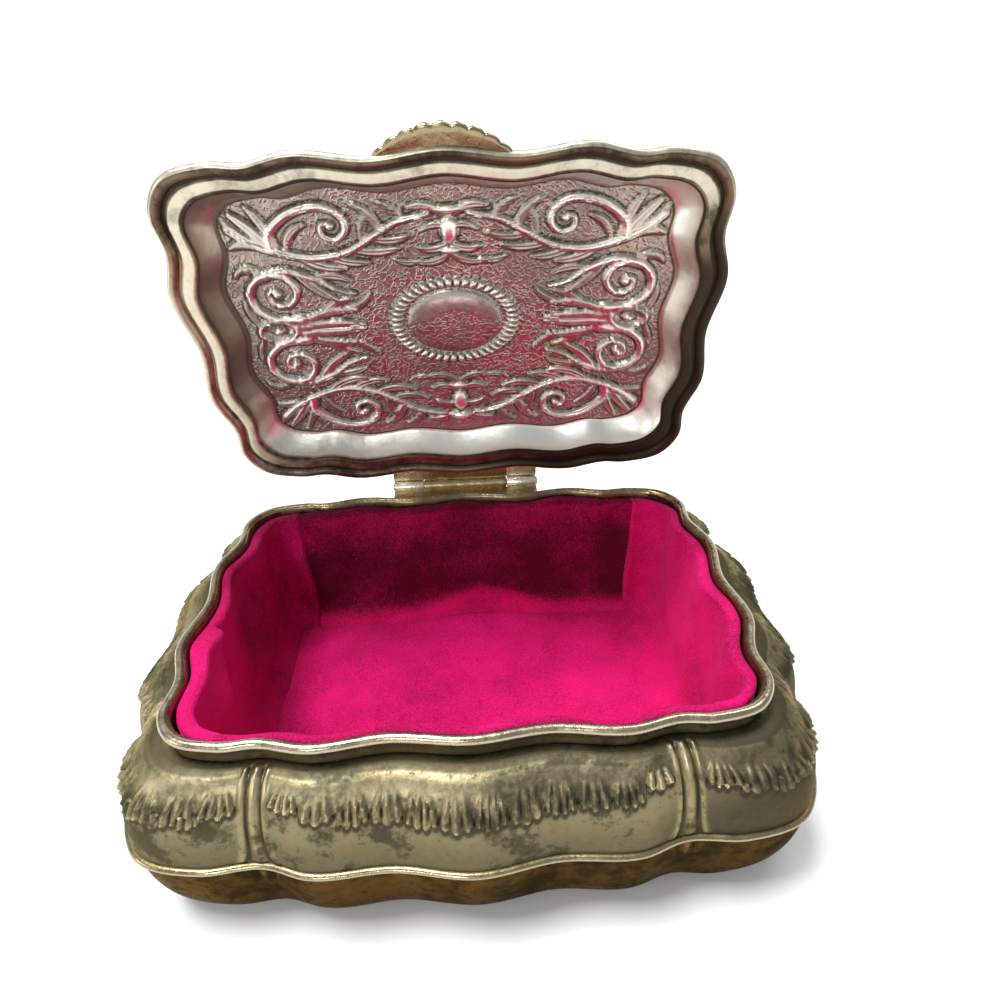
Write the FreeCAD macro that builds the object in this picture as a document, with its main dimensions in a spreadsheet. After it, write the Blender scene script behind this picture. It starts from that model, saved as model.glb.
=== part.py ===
"""Serpentine trinket box with a hinged lid and a velvet lining, sizes in millimetres.

The box stands on its foot with +Z up and the middle of the foot at the origin.
+X is to the right and the hinge is at the back, towards +Y.
"""
import FreeCAD, Part
import math
import os

Vector = FreeCAD.Vector
DOC = FreeCAD.newDocument("trinket_box")
SHEET = DOC.addObject("Spreadsheet::Sheet", "dims")

# Driving dimensions, one alias for each
SIZES = {
    # serpentine outline at the mouth
    "mouth_notch_x": 36.3,
    "mouth_front": 38.5,
    "mouth_side": 54.7,
    "mouth_notch_y": 23.4,
    "mouth_centre_swell": 1.95,
    "mouth_dip_swell": 0.45,
    "mouth_lobe_swell": 1.75,
    "mouth_flank_swell": 2.7,
    "mouth_flank_dip": 1.0,
    "mouth_corner_swell": 0.3,
    "mouth_corner_x": 43.0,
    "mouth_corner_y": 31.0,
    # serpentine outline at the girth
    "girth_notch_x": 38.2,
    "girth_front": 47.0,
    "girth_side": 65.2,
    "girth_notch_y": 27.0,
    "girth_centre_swell": 4.5,
    "girth_dip_swell": 2.3,
    "girth_lobe_swell": 2.6,
    "girth_flank_swell": 4.6,
    "girth_flank_dip": 3.2,
    "girth_corner_swell": 0.6,
    "girth_corner_x": 49.0,
    "girth_corner_y": 35.0,
    "corner_follow": 0.7,
    "outline_chords": 3,
    "hidden_chords": 2,
    # body
    "body_height": 42.0,
    "neck_height": 37.0,
    "girth_height": 19.5,
    "band_height": 1.4,
    "band_proud": 0.9,
    "shoulder_spread": 0.12,
    "foot_spread": 0.24,
    "wall": 1.5,
    "neck_inset": 0.3,
    "mouth_inset": 1.1,
    "bead_radius": 1.0,
    "bead_height": 2.2,
    "rest_width": 3.0,
    "plate_thick": 1.2,
    "plate_lip": 0.8,
    "plate_gap": 0.1,
    # lining
    "card_thick": 1.0,
    "floor_card_thick": 1.4,
    "velvet_thick": 1.4,
    "lining_side": 52.7,
    "lining_front": 36.6,
    "lining_corner": 8.0,
    "lining_top": 39.4,
    "end_reach": 45.0,
    "panel_recess": 0.5,
    "joint_gap": 0.3,
    "pad_side_gap": 0.4,
    "pad_height": 2.6,
    "pad_crown": 0.9,
    # lid
    "lid_gap": 0.3,
    "lid_bead_radius": 1.15,
    "lid_overhang": 0.05,
    "flange_thick": 1.0,
    "flange_width": 4.4,
    "flange_drop": 0.3,
    "lid_wall_height": 6.6,
    "lid_wall_taper": 3.6,
    "lid_crown": 1.8,
    "lid_thick": 1.0,
    "boss_x": 14.5,
    "boss_y": 11.0,
    "boss_rise": 1.3,
    "open_angle": 74.0,
    # thumb piece
    "thumb_half": 12.6,
    "thumb_reach": 3.2,
    "thumb_sink": 1.2,
    "thumb_thick": 2.0,
    "thumb_lobes": 9,
    "lobe_rise": 1.0,
    # hinge
    "hinge_y": 44.8,
    "hinge_z": 42.2,
    "barrel_radius": 1.9,
    "pin_radius": 0.9,
    "pin_gap": 0.05,
    "centre_half": 11.0,
    "hinge_half": 19.0,
    "knuckle_gap": 0.2,
    "leaf_clear": 0.35,
    "leaf_drop": 4.2,
    "web_thick": 1.2,
}
for row, (alias, value) in enumerate(SIZES.items(), start=1):
    SHEET.set("A%d" % row, alias)
    SHEET.set("B%d" % row, str(value))
    SHEET.setAlias("B%d" % row, alias)
DOC.recompute()


def size(alias):
    """Read one driving dimension from the sheet."""
    return float(SHEET.get(alias))


def bind(item, **formulas):
    """Tie properties of an object to formulas of the sheet."""
    for name, formula in formulas.items():
        path = {"x": "Placement.Base.x", "y": "Placement.Base.y", "z": "Placement.Base.z"}.get(name, name)
        item.setExpression(path, formula)
    return item


def blend(low, high, share):
    """Value a share of the way from low to high."""
    return low + (high - low) * share


def quarter_points(spread, inset):
    """Points of a quarter of the serpentine outline, from the front centre to the middle of a side.

    spread is 0 at the mouth and 1 at the girth, and inset shrinks the outline along its normal.
    """
    keys = ("notch_x", "front", "side", "notch_y", "centre_swell", "dip_swell", "lobe_swell",
            "flank_swell", "flank_dip", "corner_swell", "corner_x", "corner_y")
    at = {key: blend(size("mouth_" + key), size("girth_" + key), spread) for key in keys}
    front = at["front"] - inset
    side = at["side"] - inset
    follow = size("corner_follow") * max(inset, 0.0)
    for key in ("corner_x", "corner_y"):
        at[key] -= follow
    for key in ("notch_x", "notch_y"):
        at[key] -= 0.7 * follow
    corner_front = front + at["corner_swell"]
    corner_side = side + at["corner_swell"]
    diagonal = math.sqrt(0.5)
    notch_front = [(at["notch_x"], front)]
    notch_side = [(side, at["notch_y"])]
    lobes = [(0.0, front + at["centre_swell"]),
             (0.38 * at["notch_x"], front + at["dip_swell"]),
             (0.78 * at["notch_x"], front + at["lobe_swell"])]
    corner = [(at["corner_x"], corner_front),
              (blend(at["corner_x"], corner_side, diagonal), blend(at["corner_y"], corner_front, diagonal)),
              (corner_side, at["corner_y"])]
    flank = [(side + at["flank_swell"], 0.58 * at["notch_y"]), (side + at["flank_dip"], 0.0)]
    return lobes + notch_front + corner + notch_side + flank


def outline_wire(spread, inset, chords="outline_chords"):
    """Closed outline of four mirrored quarters, a smooth curve followed by short chords."""
    guide = [Vector(x, y, 0) for x, y in quarter_points(0.5, 0.0)]
    steps = [guide[0].distanceToPoint(guide[1])]
    steps += [here.distanceToPoint(following) for here, following in zip(guide, guide[1:])]
    steps.append(steps[-1])
    points = [Vector(x, y, 0) for x, y in quarter_points(spread, inset)]
    points.insert(0, Vector(-points[1].x, points[1].y, 0))
    points.append(Vector(points[-2].x, -points[-2].y, 0))
    slopes = []
    for number in range(1, len(points) - 1):
        before = (points[number] - points[number - 1]) / steps[number - 1]
        after = (points[number + 1] - points[number]) / steps[number]
        share = steps[number - 1] / (steps[number - 1] + steps[number])
        slopes.append(before * (1 - share) + after * share)
    count = int(size(chords))
    quarter = []
    for number, step in enumerate(steps[1:-1]):
        start = points[number + 1]
        end = points[number + 2]
        for share in [part / count for part in range(count)]:
            swing = slopes[number] * (1 - share) - slopes[number + 1] * share
            ease = share * share * (3 - 2 * share)
            quarter.append(start * (1 - ease) + end * ease + swing * (step * share * (1 - share)))
    quarter.append(points[-2])
    outline = []
    for sign_x, sign_y in ((1, -1), (1, 1), (-1, 1), (-1, -1)):
        side = [Vector(sign_x * point.x, sign_y * point.y, 0) for point in quarter]
        if sign_x * sign_y > 0:
            side.reverse()
        outline.extend(side[:-1])
    return Part.makePolygon(outline + outline[:1])


def rounded_wire(half_x, half_y, corner):
    """Rectangle with rounded corners about the Z axis."""
    edges = []
    turn = math.sqrt(0.5) * corner
    for sign_x, sign_y in ((1, -1), (1, 1), (-1, 1), (-1, -1)):
        centre = Vector(sign_x * (half_x - corner), sign_y * (half_y - corner), 0)
        along_x = Vector(centre.x, sign_y * half_y, 0)
        along_y = Vector(sign_x * half_x, centre.y, 0)
        ends = (along_x, along_y) if sign_x * sign_y < 0 else (along_y, along_x)
        middle = centre + Vector(sign_x * turn, sign_y * turn, 0)
        edges.append(Part.Arc(ends[0], middle, ends[1]).toShape())
    sides = []
    for number, arc in enumerate(edges):
        following = edges[(number + 1) % 4]
        sides.append(arc)
        sides.append(Part.makeLine(arc.Vertexes[-1].Point, following.Vertexes[0].Point))
    return Part.Wire(sides)


def chorded_wire(half_x, half_y, corner):
    """Rounded rectangle whose corners are short chords."""
    count = int(size("outline_chords")) + 1
    points = []
    for quarter in range(4):
        for step in range(count + 1):
            turn = math.radians(90) * (quarter + step / count)
            along_x = half_x - corner if quarter in (0, 3) else corner - half_x
            along_y = half_y - corner if quarter in (0, 1) else corner - half_y
            points.append(Vector(along_x + corner * math.cos(turn), along_y + corner * math.sin(turn), 0))
    return Part.makePolygon(points + points[:1])


def section(name, wire, height):
    """Outline held at a height that the sheet drives."""
    item = DOC.addObject("Part::Feature", name)
    item.Shape = wire
    return bind(item, z=height)


def loft(name, sections):
    """Solid through a list of sections, straight from each one to the next."""
    item = DOC.addObject("Part::Loft", name)
    item.Sections = sections
    item.Solid = True
    item.Ruled = True
    return item


def extrude(name, base, length):
    """Straight solid over an outline."""
    item = DOC.addObject("Part::Extrusion", name)
    item.Base = base
    item.DirMode = "Custom"
    item.Dir = Vector(0, 0, 1)
    item.Solid = True
    return bind(item, LengthFwd=length)


def box(name, **formulas):
    """Block whose sizes and corner are formulas of the sheet."""
    return bind(DOC.addObject("Part::Box", name), **formulas)


def rod(name, start, length, radius):
    """Cylinder along X on the hinge axis."""
    item = DOC.addObject("Part::Cylinder", name)
    item.Placement = FreeCAD.Placement(Vector(), FreeCAD.Rotation(Vector(0, 1, 0), 90))
    return bind(item, Radius=radius, Height=length, x=start, y="dims.hinge_y", z="dims.hinge_z")


def cut(name, base, tool):
    """Base with the tool taken away."""
    item = DOC.addObject("Part::Cut", name)
    item.Base = base
    item.Tool = tool
    return item


def fuse(name, shapes):
    """One solid from several that overlap."""
    item = DOC.addObject("Part::MultiFuse", name)
    item.Shapes = shapes
    item.Refine = True
    return item


def common(name, first, second):
    """What two solids share."""
    item = DOC.addObject("Part::MultiCommon", name)
    item.Shapes = [first, second]
    return item


def foot_share(height):
    """Spread of the bowl-shaped foot at a height above the ground."""
    top = size("girth_height") - size("band_height") / 2
    lean = min(1.0, max(0.0, (top - height) / top)) * math.sin(math.radians(80))
    return blend(size("foot_spread"), 1.0, math.sqrt(1 - lean * lean))


# Belly: quarter-ellipse profile between the neck and the girth band
def build_belly():
    low = "(dims.girth_height + dims.band_height / 2)"
    rise = "(dims.neck_height - dims.girth_height - dims.band_height / 2)"
    outer = []
    inner = []
    for number, angle in enumerate((0, 24, 48, 70, 90)):
        share = blend(size("shoulder_spread"), 1.0, math.cos(math.radians(angle)))
        height = "%s + %s * %.4f" % (low, rise, math.sin(math.radians(angle)))
        outer.append(section("belly_out_%d" % number, outline_wire(share, 0), height))
        if angle in (0, 48):
            inner.append(section("belly_in_%d" % number, outline_wire(share, size("wall"), "hidden_chords"), height))
    top = outline_wire(0, size("mouth_inset"), "hidden_chords")
    inner.append(section("belly_in_top", top, "dims.neck_height"))
    return cut("belly_shell", loft("belly_out", outer), loft("belly_in", inner))


# Foot: bowl that rolls in under the girth to a flat standing ring
def build_foot():
    outer = []
    inner = []
    top = size("girth_height") - size("band_height") / 2
    for number, share in enumerate((1.0, 0.6, 0.25, 0.0)):
        spread = foot_share(top * share)
        height = "(dims.girth_height - dims.band_height / 2) * %.4f" % share
        outer.append(section("foot_out_%d" % number, outline_wire(spread, 0), height))
        if share in (1.0, 0.6):
            inner.append(section("foot_in_%d" % number, outline_wire(spread, size("wall"), "hidden_chords"), height))
    ledge = outline_wire(foot_share(size("plate_thick")), size("wall"), "hidden_chords")
    inner.append(section("foot_in_ledge", ledge, "dims.plate_thick"))
    hollow = cut("foot_bowl", loft("foot_out", outer), loft("foot_in", inner))
    opening = section("foot_hole_line", outline_wire(foot_share(0), size("rest_width"), "hidden_chords"), "-1")
    return cut("foot_shell", hollow, extrude("foot_hole", opening, "dims.plate_thick + 2"))


# Girth band: half-round moulding soldered between belly and foot
def build_band():
    ring = []
    for number, (level, proud) in enumerate(((-0.5, 0.2), (0.0, 1.0), (0.5, 0.2))):
        wire = outline_wire(1.0, -proud * size("band_proud"))
        ring.append(section("band_out_%d" % number, wire, "dims.girth_height + dims.band_height * %.2f" % level))
    line = outline_wire(1.0, size("wall"), "hidden_chords")
    hole = section("band_hole_line", line, "dims.girth_height - dims.band_height")
    return cut("girth_band", loft("band_out", ring), extrude("band_hole", hole, "2 * dims.band_height"))


# Mouth rim: recessed neck below a rounded bead
def build_rim():
    neck_line = section("neck_line", outline_wire(0, size("neck_inset")), "dims.neck_height")
    neck = extrude("neck", neck_line, "dims.body_height - dims.neck_height - dims.bead_height / 2")
    ring = []
    steps = ((0.0, -0.3), (0.3, 0.9), (0.72, 0.9), (1.0, -0.1))
    for number, (level, proud) in enumerate(steps):
        wire = outline_wire(0, -proud * size("bead_radius"))
        ring.append(section("bead_%d" % number, wire, "dims.body_height - dims.bead_height * %.2f" % (1 - level)))
    solid = fuse("rim_solid", [neck, loft("bead", ring)])
    line = outline_wire(0, size("mouth_inset"), "hidden_chords")
    hole = section("mouth_line", line, "dims.neck_height - 1")
    return solid, cut("mouth_rim", solid, extrude("mouth_hole", hole, "dims.body_height"))


# Base plate: pressed bottom that drops in from above and lies flush with the standing ring
def build_plate():
    inner = outline_wire(foot_share(0), size("rest_width") + size("plate_gap"), "hidden_chords")
    boss = extrude("plate_boss", section("plate_line", inner, "0"), "dims.plate_thick + dims.plate_lip / 2")
    lip_wire = outline_wire(foot_share(size("plate_thick")), size("wall") + 0.6, "hidden_chords")
    lip = extrude("plate_lip", section("plate_lip_line", lip_wire, "dims.plate_thick"), "dims.plate_lip")
    return fuse("base_plate", [boss, lip])


# Lining: a padded floor and four velvet-covered cards that stand on the floor card
def band_solid(name, outer_trim, inner_trim, foot, height):
    """Upright band between two rounded rectangles that lie inside the lining's outline."""
    halves = []
    for label, trim in (("out", outer_trim), ("in", inner_trim)):
        wire = rounded_wire(size("lining_side") - trim, size("lining_front") - trim, size("lining_corner") - trim)
        halves.append(extrude("%s_%s" % (name, label), section("%s_%s_line" % (name, label), wire, foot), height))
    return cut(name, halves[0], halves[1])


def build_end(side, sign):
    """Card and velvet of one end, bent round both corners."""
    floor = "(dims.plate_thick + dims.plate_lip + dims.floor_card_thick)"
    start = "dims.end_reach" if sign > 0 else "-dims.end_reach - 20"
    card_top = "dims.lining_top - dims.velvet_thick - %s" % floor
    stock = []
    for name in ("card", "velvet"):
        keep = box("%s_%s_keep" % (side, name), Length="20", Width="2 * dims.lining_front + 2", Height="dims.body_height",
                   x=start, y="-dims.lining_front - 1", z="0")
        inner = size("card_thick") if name == "card" else size("card_thick") + size("velvet_thick")
        height = card_top if name == "card" else "dims.lining_top - %s" % floor
        band = band_solid("%s_%s_band" % (side, name), 0.0, inner, floor, height)
        stock.append(common("%s_%s_stock" % (side, name), band, keep))
    stock[0].Label = "%s_card" % side
    return stock[0], cut("%s_velvet" % side, stock[1], stock[0])


def build_panel(side, sign):
    """Card and velvet of the front or back, between the ends."""
    floor = "(dims.plate_thick + dims.plate_lip + dims.floor_card_thick)"
    reach = "(dims.end_reach - dims.joint_gap)"
    outer = "(dims.lining_front + dims.panel_recess)"
    card_y = "%s - dims.card_thick" % outer if sign > 0 else "-%s" % outer
    both = "(dims.card_thick + dims.velvet_thick)"
    both_y = "%s - %s" % (outer, both) if sign > 0 else "-%s" % outer
    card = box("%s_card" % side, Length="2 * %s" % reach, Width="dims.card_thick",
               Height="dims.lining_top - dims.velvet_thick - %s" % floor, x="-%s" % reach, y=card_y, z=floor)
    stock = box("%s_stock" % side, Length="2 * %s" % reach, Width=both,
                Height="dims.lining_top - %s" % floor, x="-%s" % reach, y=both_y, z=floor)
    return card, cut("%s_velvet" % side, stock, card)


def build_floor():
    """Floor card and the crowned pad on it."""
    level = "(dims.plate_thick + dims.plate_lip)"
    wire = rounded_wire(size("lining_side"), size("lining_front") + size("panel_recess"), size("lining_corner"))
    card = extrude("floor_card", section("floor_card_line", wire, level), "dims.floor_card_thick")
    trim = size("card_thick") + size("velvet_thick") + size("pad_side_gap")
    half_x = size("lining_side") - trim
    half_y = size("lining_front") - trim
    layers = []
    steps = ((0.0, 0.7, 0.0), (0.25, 0.15, 0.0), (0.5, 0.0, 0.0), (0.78, 0.35, 0.0), (0.95, 1.1, 0.0),
             (1.0, 2.4, 0.08), (1.0, 7.0, 0.45), (1.0, 15.0, 0.85), (1.0, 25.0, 1.0))
    for number, (level_share, draw, crown) in enumerate(steps):
        corner = max(1.5, size("lining_corner") - trim - 0.5 * draw)
        line = chorded_wire(half_x - draw, half_y - draw, corner)
        height = "%s + dims.floor_card_thick + dims.pad_height * %.2f + dims.pad_crown * %.2f" % (level, level_share, crown)
        layers.append(section("pad_%d" % number, line, height))
    return card, loft("floor_pad", layers)


# Lid, drawn shut and swung open at the end
def build_lid_rim():
    floor = "(dims.body_height + dims.lid_gap)"
    flange_z = "(%s + 2 * dims.lid_bead_radius - dims.flange_thick - dims.flange_drop)" % floor
    ring = []
    steps = ((0.0, 0.1), (0.3, 1.0), (0.7, 1.0), (1.0, 0.1))
    for number, (level, proud) in enumerate(steps):
        wire = outline_wire(0, -size("lid_overhang") - proud * size("lid_bead_radius"))
        ring.append(section("lid_bead_%d" % number, wire, "%s + 2 * dims.lid_bead_radius * %.2f" % (floor, level)))
    solid = loft("lid_bead", ring)
    hole = section("flange_hole_line", outline_wire(0, size("flange_width"), "hidden_chords"), "dims.body_height")
    disc = cut("lid_disc", solid, extrude("flange_hole", hole, "dims.body_height"))
    recess = outline_wire(0, 0.8 * size("lid_bead_radius"), "hidden_chords")
    under = section("under_line", recess, "dims.body_height")
    below = cut("lid_disc_under", disc, extrude("under_recess", under, "%s - dims.body_height" % flange_z))
    over = section("over_line", recess, "%s + dims.flange_thick" % flange_z)
    return solid, cut("lid_rim", below, extrude("over_recess", over, "dims.body_height"))


def oval_wire(half_x, half_y):
    """Oval of short chords about the Z axis with its long way along X."""
    count = 10 * int(size("hidden_chords"))
    turns = [2 * math.pi * number / count for number in range(count)]
    points = [Vector(half_x * math.cos(turn), half_y * math.sin(turn), 0) for turn in turns]
    return Part.makePolygon(points + points[:1])


def build_lid_shell():
    """Pressing with a leaning wall, a slightly crowned top and an oval boss, on the flange of the lid's rim."""
    start = "(dims.body_height + dims.lid_gap + 2 * dims.lid_bead_radius - dims.flange_drop)"
    solids = []
    for name, skin in (("out", size("lid_thick")), ("in", 0.0)):
        edge = size("flange_width") - skin
        top = "%s + dims.lid_wall_height - dims.lid_thick + %.3f" % (start, skin)
        foot_line = outline_wire(0, edge, "hidden_chords")
        top_line = outline_wire(0, edge + size("lid_wall_taper"), "hidden_chords")
        wall = loft("wall_%s" % name, [section("wall_%s_foot" % name, foot_line, start),
                                       section("wall_%s_top" % name, top_line, top)])
        crown_x = size("mouth_notch_x") - skin
        crown_y = size("mouth_notch_y") + skin
        boss_x = size("boss_x") + skin
        boss_y = size("boss_y") + skin
        ovals = []
        for number, (half_x, half_y, crown, rise) in enumerate((
                (crown_x, crown_y, 0.0, -1.0), (crown_x, crown_y, 0.0, 0.0), (boss_x, boss_y, 1.0, 0.0),
                (0.94 * boss_x, 0.94 * boss_y, 1.0, 0.7), (0.75 * boss_x, 0.75 * boss_y, 1.0, 1.0))):
            height = "%s + dims.lid_crown * %.1f + dims.boss_rise * %.1f" % (top, crown, rise)
            ovals.append(section("oval_%s_%d" % (name, number), oval_wire(half_x, half_y), height))
        solids.append(fuse("shell_%s" % name, [wall, loft("crown_%s" % name, ovals)]))
    return cut("lid_shell", solids[0], solids[1])


def build_thumb(lid_bead):
    """Scalloped crescent on the front edge of the lid."""
    edge = size("mouth_front") + size("mouth_centre_swell") + size("lid_overhang")
    left = Vector(-size("thumb_half"), -edge + size("thumb_sink"), 0)
    right = Vector(size("thumb_half"), -edge + size("thumb_sink"), 0)
    arc = Part.Arc(left, Vector(0, -edge - size("thumb_reach"), 0), right).toShape()
    centre = arc.Curve.Center
    count = int(size("thumb_lobes"))
    points = [arc.valueAt(blend(arc.FirstParameter, arc.LastParameter, number / (2 * count)))
              for number in range(2 * count + 1)]
    scallops = []
    for number in range(0, 2 * count, 2):
        crest = points[number + 1] + (points[number + 1] - centre).normalize() * size("lobe_rise")
        scallops.append(Part.Arc(points[number], crest, points[number + 2]).toShape())
    wire = Part.Wire(scallops + [Part.makeLine(points[-1], points[0])])
    level = "dims.body_height + dims.lid_gap + dims.lid_bead_radius - dims.thumb_thick / 2"
    plate = extrude("thumb_plate", section("thumb_line", wire, level), "dims.thumb_thick")
    return cut("thumb_piece", plate, lid_bead)


# Hinge: two outer knuckles on the lid's leaf, one long knuckle on the body's leaf, and a pin
def build_hinge(rim_solid, lid_bead):
    near = "(dims.hinge_y - dims.barrel_radius - dims.leaf_clear)"
    back = "(dims.mouth_front - 1.5)"
    bore = "dims.pin_radius + dims.pin_gap"
    lid_strip = box("lid_strip", Length="2 * dims.hinge_half", Width="%s - %s" % (near, back),
                    Height="2 * dims.lid_bead_radius + 0.4", x="-dims.hinge_half", y=back,
                    z="dims.body_height + dims.lid_gap")
    lid_stock = [cut("lid_strip_cut", lid_strip, lid_bead)]
    for name, start in (("left", "-dims.hinge_half"), ("right", "dims.centre_half + dims.knuckle_gap")):
        length = "dims.hinge_half - dims.centre_half - dims.knuckle_gap"
        lid_stock.append(rod("%s_barrel" % name, start, length, "dims.barrel_radius"))
        lid_stock.append(box("%s_web" % name, Length=length, Width="dims.hinge_y - %s + 0.3" % near, Height="dims.web_thick",
                             x=start, y="%s - 0.3" % near, z="dims.hinge_z + dims.barrel_radius - dims.web_thick"))
    lid_bore = rod("lid_bore", "-dims.hinge_half - 1", "2 * dims.hinge_half + 2", bore)
    lid_leaf = cut("lid_hinge_leaf", fuse("lid_leaf_stock", lid_stock), lid_bore)
    body_strip = box("body_strip", Length="2 * dims.hinge_half", Width="%s - %s" % (near, back), Height="dims.leaf_drop",
                     x="-dims.hinge_half", y=back, z="dims.body_height - dims.leaf_drop - 0.1")
    centre = rod("centre_barrel", "-dims.centre_half", "2 * dims.centre_half", "dims.barrel_radius")
    web = box("centre_web", Length="2 * dims.centre_half", Width="dims.hinge_y - %s + 0.3" % near, Height="dims.web_thick",
              x="-dims.centre_half", y="%s - 0.3" % near, z="dims.body_height - dims.web_thick - 0.1")
    body_stock = fuse("body_leaf_stock", [cut("body_strip_cut", body_strip, rim_solid), centre, web])
    body_bore = rod("body_bore", "-dims.hinge_half - 1", "2 * dims.hinge_half + 2", bore)
    body_leaf = cut("body_hinge_leaf", body_stock, body_bore)
    pin = rod("hinge_pin", "-dims.hinge_half - 0.4", "2 * dims.hinge_half + 0.8", "dims.pin_radius")
    return lid_leaf, body_leaf, pin


belly = build_belly()
foot = build_foot()
band = build_band()
rim_block, rim = build_rim()
plate = build_plate()
floor_card, floor_pad = build_floor()
linings = []
for side_name, side_sign in (("left", -1), ("right", 1)):
    linings.extend(build_end(side_name, side_sign))
for side_name, side_sign in (("front", -1), ("back", 1)):
    linings.extend(build_panel(side_name, side_sign))
bead_block, lid_rim = build_lid_rim()
lid_shell = build_lid_shell()
thumb = build_thumb(bead_block)
lid_leaf, body_leaf, pin = build_hinge(rim_block, bead_block)
DOC.recompute()

# The lid's pieces swing open together about the hinge axis
axis = Vector(0, size("hinge_y"), size("hinge_z"))
swing = FreeCAD.Rotation(Vector(-1, 0, 0), size("open_angle"))
for piece in (lid_rim, lid_shell, thumb, lid_leaf):
    piece.Placement = FreeCAD.Placement(Vector(), swing, axis)
DOC.recompute()

NODES = [belly, foot, band, rim, plate, floor_card, floor_pad, *linings, lid_rim, lid_shell, thumb,
         lid_leaf, body_leaf, pin]

# Nothing is written unless every piece came out sound
for item in DOC.Objects:
    if "Invalid" in item.State or "Error" in item.State:
        raise RuntimeError("%s failed: %s" % (item.Name, item.State))
for node in NODES:
    if node.Shape.isNull() or not node.Shape.isValid() or len(node.Shape.Solids) != 1:
        raise RuntimeError("%s is not one sound solid" % node.Label)
os.makedirs("parts", exist_ok=True)
for node in NODES:
    node.Shape.exportStep("parts/%s.step" % node.Label)
    print("%-18s %9.1f mm3" % (node.Label, node.Shape.Volume))
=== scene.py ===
"""Looks of a serpentine trinket box with an embossed lid and a velvet lining.

Sizes below are in millimetres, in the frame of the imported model, and meshes are written in metres.
"""
import logging
import math
from dataclasses import dataclass, field
from enum import Enum
from typing import Callable, Optional, Sequence

import bmesh
import bpy
import numpy as np
from mathutils import Matrix, Vector

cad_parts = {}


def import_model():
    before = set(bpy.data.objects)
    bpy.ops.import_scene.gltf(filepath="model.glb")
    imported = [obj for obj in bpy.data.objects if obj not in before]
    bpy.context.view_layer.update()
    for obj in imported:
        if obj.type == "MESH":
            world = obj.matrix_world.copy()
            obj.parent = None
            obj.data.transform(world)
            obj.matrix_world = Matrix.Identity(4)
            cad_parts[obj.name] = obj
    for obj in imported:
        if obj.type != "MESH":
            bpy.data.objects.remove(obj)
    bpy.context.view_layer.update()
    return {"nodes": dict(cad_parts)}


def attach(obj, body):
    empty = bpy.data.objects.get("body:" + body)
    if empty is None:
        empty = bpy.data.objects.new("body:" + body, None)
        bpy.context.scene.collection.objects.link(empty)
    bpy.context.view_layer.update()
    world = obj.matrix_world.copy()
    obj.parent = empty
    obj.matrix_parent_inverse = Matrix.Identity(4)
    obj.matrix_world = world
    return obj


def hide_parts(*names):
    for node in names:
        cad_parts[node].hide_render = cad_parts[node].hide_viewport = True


logging.basicConfig(level=logging.INFO, format="%(message)s")
LOG = logging.getLogger("trinket_box")
Array = np.ndarray
Fold = Callable[[Array, float], Array]
MM = 0.001
# edges bent by more degrees than this stay sharp
CREASE = 38.0


class Body(Enum):
    """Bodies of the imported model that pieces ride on."""

    BOX = "box"
    LID = "lid"


class Slot(Enum):
    """Material slots of the record."""

    PLATE = "silver_plate"
    EDGE = "bright_edge"
    LID = "lid_metal"
    HINGE = "hinge_metal"
    PIN = "pin_steel"
    CARD = "lining_card"
    VELVET = "velvet"


@dataclass(frozen=True)
class MetalFinish:
    """Colours and roughness of a tarnished metal.

    bright is worn metal on raised places and painted highlights, main the plate, dark the dirt in recesses
    and blotches and painted shade, and warm the bronze tint that spreads where warm_share is above zero.
    grazing tints what the metal mirrors at a flat angle. Wear and painted highlights come in over the relief
    from relief_low to relief_high.
    """

    name: str
    bright: tuple[float, float, float]
    main: tuple[float, float, float]
    dark: tuple[float, float, float]
    warm: tuple[float, float, float]
    warm_share: float
    blotch_share: float
    rough_low: float
    rough_high: float
    blotch_scale: float = 38.0
    stipple: float = 0.0
    grazing: tuple[float, float, float] = (1.0, 1.0, 1.0)
    relief_low: float = 0.0
    relief_high: float = 0.8


@dataclass(frozen=True)
class ClothFinish:
    """Colours of a pile fabric."""

    name: str
    deep: tuple[float, float, float]
    light: tuple[float, float, float]
    sheen: tuple[float, float, float]
    sheen_weight: float


PLATE = MetalFinish(
    "tarnished_plate", bright=(0.56, 0.48, 0.30), main=(0.268, 0.234, 0.132), dark=(0.05, 0.044, 0.03),
    warm=(0.30, 0.21, 0.10), warm_share=0.5, blotch_share=0.85, rough_low=0.32, rough_high=0.48,
    blotch_scale=52.0, grazing=(0.75, 0.68, 0.52))
# The foot's colours are its brown tarnish, darkened further to paint the dark reflection that the pale floor
# does not give.
FOOT = MetalFinish(
    "bronzed_plate_and_painted_reflection", bright=(0.20, 0.14, 0.06), main=(0.058, 0.038, 0.016), dark=(0.018, 0.013, 0.008),
    warm=(0.105, 0.056, 0.02), warm_share=0.85, blotch_share=0.85, rough_low=0.28, rough_high=0.46,
    grazing=(0.66, 0.56, 0.47))
EDGE = MetalFinish(
    "worn_edge", bright=(0.39, 0.335, 0.215), main=(0.32, 0.26, 0.14), dark=(0.07, 0.055, 0.03),
    warm=(0.36, 0.22, 0.08), warm_share=0.3, blotch_share=0.45, rough_low=0.2, rough_high=0.38)
RIM = MetalFinish(
    "rim_metal", bright=(0.49, 0.42, 0.30), main=(0.28, 0.225, 0.13), dark=(0.045, 0.036, 0.024),
    warm=(0.36, 0.22, 0.09), warm_share=0.3, blotch_share=0.5, rough_low=0.18, rough_high=0.38)
PANEL = MetalFinish(
    "bright_silver", bright=(0.95, 0.89, 0.81), main=(0.43, 0.395, 0.355), dark=(0.06, 0.038, 0.025),
    warm=(0.48, 0.38, 0.26), warm_share=0.6, blotch_share=0.3, rough_low=0.27, rough_high=0.40, stipple=0.9,
    relief_low=0.36, relief_high=1.1)
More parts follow.
